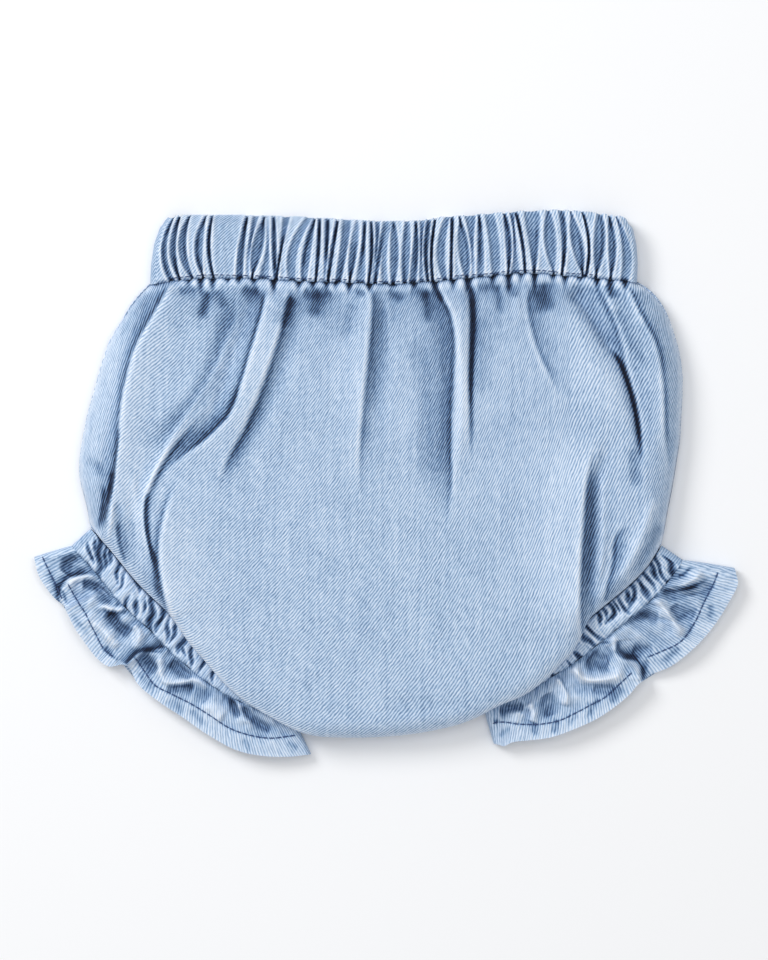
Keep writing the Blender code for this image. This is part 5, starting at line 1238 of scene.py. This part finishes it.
def front_panel(cloth):
    """The body piece that faces up, with its folds, rolled under at its lower edge"""
    counts = [count for _, count, _ in GUIDES[1:]]
    at, rows_at = spread(counts), np.array(FRONT_ROWS)
    fine_skirt = np.stack([finer(SKIRT[:, k]) for k in range(4)], -1)[1:]
    outer, folds, tinting, rolls, _, _ = body_points(at, rows_at, fine_skirt, FINER)
    plain, _, _, _, seen, seam = body_points(at, rows_at, SKIRT[1:], 1)
    normal = facing(plain, False)
    if normal[len(plain) // 2, 8, 2] < 0:
        normal = -normal
    hangs = np.hypot(*(seam - seen).T)
    under = len(SKIRT) - 1
    normal[:, -under - 1:, 2] *= ease((hangs - 1.0) / 3.0)[:, None]
    normal[:, -under, 2] = normal[:, -under, 2].clip(-0.4, 0)
    for rim in (normal[0], normal[-1], normal[:, -1], normal[:, -under - 1]):
        rim[:, 2] = 0
    normal[:, 0, 1] = 0
    level = np.sqrt(1 - normal[..., 2:] ** 2)
    across = np.maximum(np.linalg.norm(normal[..., :2], axis=2, keepdims=True), 1e-9)
    normal[..., :2] *= level / across
    inner = plain - CLOTH * normal
    inner[:, 0, 2] -= SEAM_DIP
    # the inside lies lower than one cloth's thickness, out of the way of the small folds' troughs
    inner[..., 2] -= np.clip(0.42 * (inner[..., 2] - 4.8), 0, 2.9)
    for edge, beside_it in ((0, 1), (-1, -2)):
        away = outer[edge, :, :2] - outer[beside_it, :, :2]
        away /= np.maximum(np.hypot(away[:, 0], away[:, 1]), 1e-6)[:, None]
        fade = ease((len(away) - np.arange(len(away)) - 50) / 20)[:, None]
        outer[edge, :, :2] += SIDE_OVERLAP * away * fade
    # The twill leans more from left to right, as the cloth is pulled round, and turns with the cloth
    # where that rolls down.  The strip beyond the left outer fold hangs the other way.
    x, y = outer[..., 0], outer[..., 1]
    own_sin, own_cos = math.sin(math.radians(CLOTH_LEAN)), math.cos(math.radians(CLOTH_LEAN))
    lean = np.radians(np.interp(x, TWILL_PLACES, TWILL_LEANS))
    fine_x = np.arange(-260, 261) * TWILL_STEP
    fine_lean = np.radians(np.interp(fine_x, TWILL_PLACES, TWILL_LEANS))
    run = np.concatenate([[0.0], np.cumsum(np.sin(fine_lean[1:]) * TWILL_STEP)]) / own_sin
    rows = folds.shape[1]
    rolled = np.zeros(outer.shape)
    rolled[:, :rows, :2] = rolls
    rolled[:, rows:] = rolled[:, rows - 1:rows]
    flat = np.dstack([np.interp(x, fine_x, run) + rolled[..., 0],
                      (y - TWILL_LEVEL) * np.cos(lean) / own_cos - rolled[..., 1]])
    distance, on_left, _, _ = path_distance(outer[..., :2], smooth(BODY_LAPS[0][-1], 220))
    strip = ((distance < 60) & ~on_left)[..., None]
    steep = math.radians(STRIP_LEAN)
    flat = np.where(strip, np.dstack([x * math.sin(steep) / own_sin + rolled[..., 0],
                                      y * math.cos(steep) / own_cos]), flat)
    faded_and_painted_light = np.zeros(outer.shape[:2])
    # fold crests paler by wear and painted highlight, fold hollows and the rolled-under cloth darker as
    # painted shade
    faded_and_painted_light[:, :rows] = BODY_DYE_AND_PAINTED_LIGHT["crest"] * np.tanh(folds / 1.6) - np.clip(tinting, -0.5, 1.3)
    under_it = np.linspace(1, 0, outer.shape[1] - rows)
    faded_and_painted_light[:, rows:] = faded_and_painted_light[:, rows - 1:rows] * under_it - BODY_DYE_AND_PAINTED_LIGHT["under"]
    made = shell("front_panel_cloth", outer, inner, False, flat, faded_and_painted_light, cloth)
    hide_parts("front_panel")
    return made


def back_panel(cloth):
    """The body piece that lies on the table, turned up at its sides and its crotch"""
    names = [name for name, _ in BACK_GUIDES]
    counts = [count for _, count in BACK_GUIDES[1:]]

    def points(at, rows_at, steps):
        plan, end_at = panel_plan(guide_lines(names), at, rows_at, lambda at: cornered(EDGE_SEAM, at), steps)
        side, _ = from_side(plan)
        curl = SIDE_SEAM_BACK * (1 - round_off(side, SIDE_CURL))
        crotch = corner_stations()[::3]
        into = np.minimum(end_at - crotch[0], crotch[1] - end_at) / CROTCH_TURN
        at_crotch = ease(into)[:, None]
        low_line = cornered(EDGE_SEAM, np.linspace(crotch[0], crotch[1], 120))
        far = spans(plan, low_line).min(-1)
        far[:, -1] = 0.0
        high = np.maximum(curl, SIDE_SEAM_BACK * (1 - round_off(far, SIDE_CURL)) * at_crotch)
        high[0] = high[-1] = SIDE_SEAM_BACK
        return np.dstack([plan, high]), at_crotch, side

    at, rows_at = spread(counts), np.array(BACK_ROWS)
    plain, at_crotch, side = points(at, rows_at, 1)
    outer, _, _ = points(at, rows_at, FINER)
    normal = facing(plain, False)
    if normal[len(plain) // 2, 6, 2] > 0:
        normal = -normal
    normal[0, :, 2] = normal[-1, :, 2] = 0
    rim = normal[:, -1]
    keep = np.maximum(at_crotch, side[:, -1:] < SIDE_CURL)
    rim *= np.concatenate([keep, keep, 1 - at_crotch], axis=1)
    rim[(0, -1), :] = normal[(0, -1), -2]
    normal /= np.maximum(np.linalg.norm(normal, axis=2, keepdims=True), 1e-9)
    flat, faded_and_painted_light = outer[..., :2], np.zeros(outer.shape[:2])
    made = shell("back_panel_cloth", outer, plain - CLOTH * normal, False, flat, faded_and_painted_light, cloth)
    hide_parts("back_panel")
    return made


# ---- the legs -----------------------------------------------------------------------------------
def leg_seam(rows):
    """The body's seam round one leg, side to crotch"""
    at = np.linspace(EDGE_KNOWN[rows[0]], EDGE_KNOWN[rows[1]], 400)
    first, last = sorted(rows)
    return soft(EDGE_SEAM[first:last + 1], at, EDGE_KNOWN[first:last + 1])


def leg_lines(rows, outward, at):
    """The band's body edge and the ruffle's start, as lines along the leg"""
    fine = leg_seam(rows)
    share = stations(fine)
    lines = []
    for distance in (SEAM_GAP, SEAM_GAP + LEG_BAND_WIDE, SEAM_GAP + LEG_BAND_WIDE + FRILL_GAP):
        moved = beside(fine, outward * distance)
        lines.append(np.column_stack([np.interp(at, share, moved[:, k]) for k in (0, 1)]))
    return lines


def leg_band(name, node, rows, outward, creases, cloth):
    """A shirred casing round one leg, laid flat"""
    plain_columns, plain_turns, plain_under, plain_rows = LEG_BAND_MESH
    columns, turns, under = loop_counts(plain_columns, plain_turns, plain_under)
    seam_length = np.hypot(*np.diff(leg_seam(rows), axis=0).T).sum()
    ends = LEG_TURN / seam_length
    along = np.linspace(0, 1, columns)
    body_side, frill_side, _ = leg_lines(rows, outward, ends + along * (1 - 2 * ends))
    across = finer(np.linspace(0, 1, plain_rows))
    wave = (LEG_OVERLAP * (0.75 + 0.25 * np.sin(along * 61) + 0.2 * np.sin(along * 143 + 1)))[:, None]
    way = (frill_side - body_side) / np.hypot(*(frill_side - body_side).T)[:, None]
    strip = body_side[:, None] + (frill_side - body_side)[:, None] * across[None, :, None]
    strip = strip + (way * wave)[:, None] * (across ** 4)[None, :, None]
    sunk = np.zeros((columns, len(across)))
    drawn = wandering(strip, 0.55, 2.0)
    puffed = np.zeros((columns, len(across)))
    for deep, wide, points in creases:
        path = smooth(points, 60)
        distance, _, share, _ = path_distance(drawn, path)
        taper = deep * (0.35 + 0.65 * np.sin(np.pi * np.clip(share, 0.06, 0.94)) ** 0.7)
        sunk = np.maximum(sunk, taper * bell(distance, 1.15 * wide))
        puffed = np.maximum(puffed, taper * bell(distance, 2.3 * wide))
    small = 0.5 + 0.5 * np.sin(along * 2 * np.pi * 47 + 2.2 * np.sin(along * 31))[:, None]
    small = small * bell(across - 0.5 + 0.3 * np.sin(along * 83)[:, None], 0.34)
    inland = ease(np.minimum(along, 1 - along) / 0.03)[:, None]
    from_body, from_frill = across * LEG_BAND_WIDE, (1 - across) * LEG_BAND_WIDE
    rim = 1.4 * (1 - round_off(from_body, 1.4)) + 1.3 * (1 - round_off(from_frill, 1.4))
    puff = LEG_PUFF * np.sin(np.pi * across)[None, :]
    rise = LEG_BAND_SWELL + puff - LEG_CREASE_DROP * sunk - LEG_VALLEY_DROP * puffed
    rise = rise - LEG_SHIRR_DROP * small - rim[None, :]
    high = np.maximum(LEG_BAND_HIGH + rise * inland, LEG_BAND_LOWEST)
    low = 0.5 * small * inland
    outer = looped(strip, high, low, LEG_TURN, turns, under)
    plain = strip[::FINER, ::FINER]
    inner_high, inner_low = (np.full(plain.shape[:2], z) for z in (LEG_BAND_INNER_HIGH, LEG_CASING))
    inner = looped(plain, inner_high, inner_low, LEG_TURN - LEG_CASING, plain_turns, plain_under)
    # creases, valleys, shirring and seams darker by kept dye and painted shade; flanks paler as painted
    # highlight
    wear_and_painted_shading = LEG_BAND_WEAR_AND_PAINTED_LIGHT
    paler_by_wear_and_light = wear_and_painted_shading["plain"] + wear_and_painted_shading["crease"] * sunk + wear_and_painted_shading["valley"] * puffed + wear_and_painted_shading["shirr"] * small
    paler_by_wear_and_light = paler_by_wear_and_light + wear_and_painted_shading["flank"] * bell(puffed - 0.30, 0.16)
    seams = wear_and_painted_shading["body seam"] * np.exp(-across / 0.05) + wear_and_painted_shading["ruffle seam"] * np.exp(-(1 - across) / 0.05)
    faded_and_painted_light = loop_wear(paler_by_wear_and_light + seams[None, :], turns, under, wear_and_painted_shading["turn"])
    made = shell(name, outer, inner, True, round_again(outer[..., :2]), faded_and_painted_light, cloth)
    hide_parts(node)
    return made


def leg_ruffle(name, node, rows, outward, hem_rows, frill_folds, laps, wash_and_painted_light, stitches, seed, cloth):
    """The gathered frill below a leg band, its two layers laid flat, with its turned hem"""
    hem = np.array(hem_rows, float)
    plain_columns, plain_turns, plain_under = FRILL_MESH
    columns, turns, under = loop_counts(plain_columns, plain_turns, plain_under)
    at = np.linspace(0, 1, columns)
    hem_line = soft(to_mm(hem[:, 1:3]), at, hem[:, 0])
    hem_high = np.interp(at, hem[:, 0], hem[:, 3])
    seam_length = np.hypot(*np.diff(leg_seam(rows), axis=0).T).sum()
    ends = LEG_TURN / seam_length
    _, _, start = leg_lines(rows, outward, ends + at * (1 - 2 * ends))
    across = finer(FRILL_ROWS)
    strip = start[:, None] + (hem_line - start)[:, None] * across[None, :, None]
    turn = LEG_TURN + (FRILL_TURN - LEG_TURN) * across
    high = FRILL_START_HIGH + (hem_high[:, None] - FRILL_START_HIGH) * across[None, :] ** 0.8
    more, less = FRILL_FOLD_SCALE
    folds = [("", more * rise, less * reach, less * reach, 0.0, 0.0, 0.16, 0.16, path)
             for rise, reach, path in frill_folds]
    inland = (ease(at / 0.03) * ease((1 - at) / 0.03))[:, None]
    drawn = wandering(strip, 0.80, 4.0)
    folded = FRILL_FOLDED * fold_height(drawn, folds) * ease(across / 0.12)
    # the laps and swells paint shade under laps and in hollows and highlight on crests, partly as dye
    lapped, painted_shade_and_dye = lap_height(strip, laps)
    swell_rise, swell_painted_light_and_dye = swell_height(drawn, wash_and_painted_light)
    lapped, painted_shade_and_dye = (lapped + swell_rise) * ease(across / 0.06), (painted_shade_and_dye + swell_painted_light_and_dye) * ease(across / 0.06)
    chance = np.random.default_rng(seed)
    gathers = np.zeros(strip.shape[:2])
    for k in range(FRILL_GATHERS):
        middle = (k + 0.5 + chance.uniform(-0.35, 0.35)) / FRILL_GATHERS
        lean, bow = chance.uniform(*GATHER_LEAN), chance.uniform(*GATHER_BOW)
        wide = chance.uniform(*GATHER_WIDE)
        long = chance.uniform(*GATHER_LONG)
        line = middle + lean * across + bow * across ** 2
        shape = bell(at[:, None] - line[None, :], wide * (1 + 1.2 * across[None, :]))
        rise = chance.choice((-1.0, 1.0), p=(0.6, 0.4)) * chance.uniform(*GATHER_RISE)
        gathers += rise * shape * ease((1.15 - across / long) * 1.6)
    crumple = np.zeros(strip.shape[:2])
    x, y = strip[..., 0], strip[..., 1]
    for size in CRUMPLE_SIZES:
        for _ in range(3):
            angle, start = chance.uniform(0, 2 * np.pi, 2)
            bend = 1.4 * np.sin((x * np.cos(angle + 1.4) + y * np.sin(angle + 1.4)) / (1.7 * size) + start)
            wave = np.sin((x * np.cos(angle) + y * np.sin(angle)) / size * 1.1 + bend + 2 * start)
            crumple += CRUMPLE_RISE * size ** 0.8 * (1 - 1.6 * np.abs(wave))
    hemmed = np.zeros(strip.shape[:2])
    dent = np.zeros(strip.shape[:2])
    for points in stitches:
        path = smooth(points, 160)
        distance, on_left, _, over = path_distance(strip, path)
        inner_side = on_left if outward > 0 else ~on_left
        signed = np.where(inner_side, -distance, distance)
        seen = np.where(over, 0.0, 1.0) * (distance < 14)
        hemmed = np.maximum(hemmed, ease((signed + 0.9) / 0.5) * seen)
        dent = np.maximum(dent, bell(distance, 0.5) * seen)
    rope = HEM_ROPE * np.sin(at * 420)[:, None] * hemmed
    crumple *= (1 - 0.7 * hemmed) * ease(across / 0.1)
    gathers *= 1 - 0.5 * hemmed
    high = high + (folded + lapped + gathers + crumple) * inland
    high = high + (HEM_RISE * hemmed - STITCH_DENT * dent + rope) * inland
    high = np.maximum(high, FRILL_LOWEST)
    low = np.zeros(high.shape)
    outer = looped(strip, high, low, turn[:, None], turns, under)
    plain = strip[::FINER, ::FINER]
    lowest = high.copy()
    for step in (1, 2, 4, 8):
        for axis in (0, 1):
            beside_it = np.minimum(np.roll(lowest, step, axis), np.roll(lowest, -step, axis))
            lowest = np.minimum(lowest, beside_it)
    lowest[:, :8] = np.minimum(high[:, :8], FRILL_START_HIGH - 0.2)
    inner_high = np.clip(lowest[::FINER, ::FINER] - 0.7, 1.5, None)
    inner_high = np.minimum(inner_high, high[::FINER, ::FINER] - 0.6)
    inner_low = np.full(plain.shape[:2], FRILL_CLOTH)
    inner = looped(plain, inner_high, inner_low, turn[::FINER, None] - FRILL_CLOTH, plain_turns, plain_under)
    relief = folded + 0.8 * gathers + 1.2 * crumple
    slope = np.hypot(np.gradient(relief, axis=0) * 2.2, np.gradient(relief, axis=1) * 1.6)
    # ridges paler by wear and painted highlight; steep sides, seam and stitch dents darker as painted shade,
    # partly kept dye; hem, edge and roping are wear
    wear_and_painted_shading = FRILL_WEAR_AND_PAINTED_LIGHT
    paler_by_wear_and_light = wear_and_painted_shading["relief"] * np.tanh(relief / 1.3) + wear_and_painted_shading["plain"] + wear_and_painted_shading["hem"] * hemmed
    paler_by_wear_and_light = paler_by_wear_and_light + wear_and_painted_shading["stitching"] * dent - np.clip(painted_shade_and_dye, -0.5, 1.0)
    roped = np.clip(np.sin(at * 2 * np.pi * 31 + 2.2 * np.sin(at * 2 * np.pi * 7)), 0, 1)[:, None] ** 2
    patchy = 0.4 + 0.6 * np.sin(at * 2 * np.pi * 9)[:, None] ** 2
    paler_by_wear_and_light = paler_by_wear_and_light + wear_and_painted_shading["roping"] * roped * hemmed * patchy
    paler_by_wear_and_light = paler_by_wear_and_light + wear_and_painted_shading["steep"] * np.clip(slope, 0, 1) * (relief < 0.2)
    paler_by_wear_and_light = paler_by_wear_and_light + wear_and_painted_shading["seam"] * np.exp(-across / 0.05)[None, :]
    paler_by_wear_and_light = paler_by_wear_and_light + wear_and_painted_shading["edge"] * np.exp(-((1 - across) * 6.0) * 2.2)[None, :]
    faded_and_painted_light = loop_wear(paler_by_wear_and_light, turns, under, wear_and_painted_shading["turn"], wear_and_painted_shading["turn"])
    lengths = np.linalg.norm(np.roll(outer[:, -20], -1, axis=0) - outer[:, -20], axis=1)
    made = shell(name, outer, inner, True, ring_flat(outer, lengths), faded_and_painted_light, cloth)
    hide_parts(node)
    return made


# ---- thread -------------------------------------------------------------------------------------
def stitched(name, cloth_piece, lines, thread, slot, long=STITCH_LONG, gap=STITCH_GAP, thick=THREAD_THICK):
    """A row of stitches pulled into the cloth along each line, as short rounded runs of thread"""
    mesh = cloth_piece.data
    points = [v.co.copy() for v in mesh.vertices]
    surface = BVHTree.FromPolygons(points, [tuple(p.vertices) for p in mesh.polygons])
    verts, faces = [], []
    sides, rings = THREAD_SIDES, THREAD_RINGS
    for line in lines:
        path = smooth(line, 1200)
        far = np.concatenate([[0.0], np.cumsum(np.hypot(*np.diff(path, axis=0).T))])
        begin = gap
        while begin + long < far[-1]:
            centre = []
            for share in np.linspace(0, 1, rings):
                where = begin + long * share
                x, y = (np.interp(where, far, path[:, k]) for k in (0, 1))
                hit = surface.ray_cast(Vector((x, y, 60)) * MM, Vector((0, 0, -1)))[0]
                if hit is None:
                    break
                lift = thick * (0.42 * math.sin(math.pi * share) - 0.30)
                centre.append((x, y, hit.z * 1000 + lift))
            begin += long + gap
            if len(centre) < rings:
                continue
            centre = np.array(centre)
            centre[:, 2] = np.minimum(centre[:, 2], np.median(centre[:, 2]) + 0.6)
            way = np.gradient(centre, axis=0)
            way /= np.linalg.norm(way, axis=1)[:, None]
            side = np.cross(way, (0, 0, 1))
            side /= np.linalg.norm(side, axis=1)[:, None]
            up = np.cross(side, way)
            start = len(verts)
            for k in range(rings):
                share = k / (rings - 1)
                round_ = thick * 0.5 * (0.45 + 0.55 * math.sin(math.pi * (0.12 + 0.76 * share)))
                for s in range(sides):
                    a = 2 * math.pi * s / sides
                    out = math.cos(a) * side[k] + math.sin(a) * up[k]
                    verts.append(tuple((centre[k] + round_ * out) * MM))
            for k in range(rings - 1):
                for s in range(sides):
                    a, b = start + k * sides + s, start + k * sides + (s + 1) % sides
                    faces.append((a, b, b + sides, a + sides))
            faces.append(tuple(start + s for s in range(sides))[::-1])
            faces.append(tuple(start + (rings - 1) * sides + s for s in range(sides)))
    mesh = bpy.data.meshes.new(name)
    mesh.from_pydata(verts, [], faces)
    mesh.shade_smooth()
    made = placed(name, mesh, thread)
    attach(made, "root")
    return made


# ---- table, light and camera --------------------------------------------------------------------
def table_top():
    """A matt white sweep of card under the garment"""
    mesh = bpy.data.meshes.new("floor")
    corners = [(x * TABLE_HALF, y * TABLE_HALF, 0) for x, y in ((-1, -1), (1, -1), (1, 1), (-1, 1))]
    mesh.from_pydata(corners, [], [(0, 1, 2, 3)])
    card = bpy.data.materials.new("white_card")
    card.use_nodes = True
    face = card.node_tree.nodes["Principled BSDF"]
    face.inputs["Base Color"].default_value = linear("#f7f8fa")
    face.inputs["Roughness"].default_value = 0.9
    face.inputs["Specular IOR Level"].default_value = 0.2
    floor = placed("floor", mesh, card)
    floor.location.z = -TABLE_BELOW


def studio():
    """Even light from all round, one wide soft box overhead and a key from the photo's upper left"""
    world = bpy.data.worlds.new("studio")
    bpy.context.scene.world = world
    world.use_nodes = True
    sky = world.node_tree.nodes["Background"]
    sky.inputs["Color"].default_value = (1.0, 1.0, 1.0, 1.0)
    sky.inputs["Strength"].default_value = AMBIENT
    for name, place, size, power in LAMPS:
        lamp = bpy.data.lights.new(name, "AREA")
        lamp.shape = "DISK"
        lamp.size = size
        lamp.energy = power
        box = placed(name, lamp)
        box.location = place
        box.rotation_euler = (-Vector(place)).to_track_quat("-Z", "Y").to_euler()
    bpy.context.scene.view_settings.view_transform = "Standard"
    bpy.context.scene.view_settings.look = "None"


def overhead_camera():
    """Straight down from 2 metres, framed as the photo, which is 768 by 960 pixels"""
    lens = bpy.data.cameras.new("overhead")
    lens.sensor_width = SENSOR
    lens.lens = LENS
    lens.clip_end = 20.0
    wide, tall = PHOTO_SIZE
    x = (wide / 2 - PHOTO_MID[0]) * MM_PER_PX * MM
    y = (PHOTO_MID[1] - tall / 2) * MM_PER_PX * MM
    camera = placed("overhead", lens)
    camera.location = (x, y, LENS * (tall * MM_PER_PX * MM) / SENSOR + CAMERA_OVER)
    bpy.context.scene.camera = camera


table_top()
body_denim = washed_denim("body_denim", 40.0, 0.00100, 0.60, 0.16, 0.50)
band_denim = washed_denim("waistband_denim", 40.0, 0.00100, 0.56, 0.18, 0.46)
shirred_denim = washed_denim("leg_band_denim", 40.0, 0.00100, 0.60, 0.24, 0.34)
frill_denim = washed_denim("ruffle_denim", 10.0, 0.00112, 0.60, 0.22, 0.40)
blue_thread = spun_thread("blue_thread", ("#26395f", "#41598a"))

band = waistband(band_denim)
front_panel(body_denim)
back_panel(body_denim)
leg_band("leg_band_left_cloth", "leg_band_left", LEFT_LEG_ROWS, 1.0, LEFT_CREASES, shirred_denim)
leg_band("leg_band_right_cloth", "leg_band_right", RIGHT_LEG_ROWS, -1.0, RIGHT_CREASES, shirred_denim)
left = leg_ruffle("leg_ruffle_left_cloth", "leg_ruffle_left", LEFT_LEG_ROWS, 1.0, LEFT_HEM,
                  LEFT_FRILL_FOLDS, LEFT_LAPS, LEFT_WASH_AND_PAINTED_LIGHT, LEFT_STITCHES, 5, frill_denim)
right = leg_ruffle("leg_ruffle_right_cloth", "leg_ruffle_right", RIGHT_LEG_ROWS, -1.0, RIGHT_HEM,
                   RIGHT_FRILL_FOLDS, RIGHT_LAPS, RIGHT_WASH_AND_PAINTED_LIGHT, RIGHT_STITCHES, 9, frill_denim)
stitched("left_hem_stitches", left, LEFT_STITCHES, blue_thread, "leg_ruffle_left")
stitched("right_hem_stitches", right, RIGHT_STITCHES, blue_thread, "leg_ruffle_right")
waist_line = [(x, y - WAIST_STITCH_UP) for x, y in WAIST_SEAM[1:-1]]
stitched("waist_stitches", band, [waist_line], blue_thread, "waistband", *WAIST_STITCH)
studio()
overhead_camera()
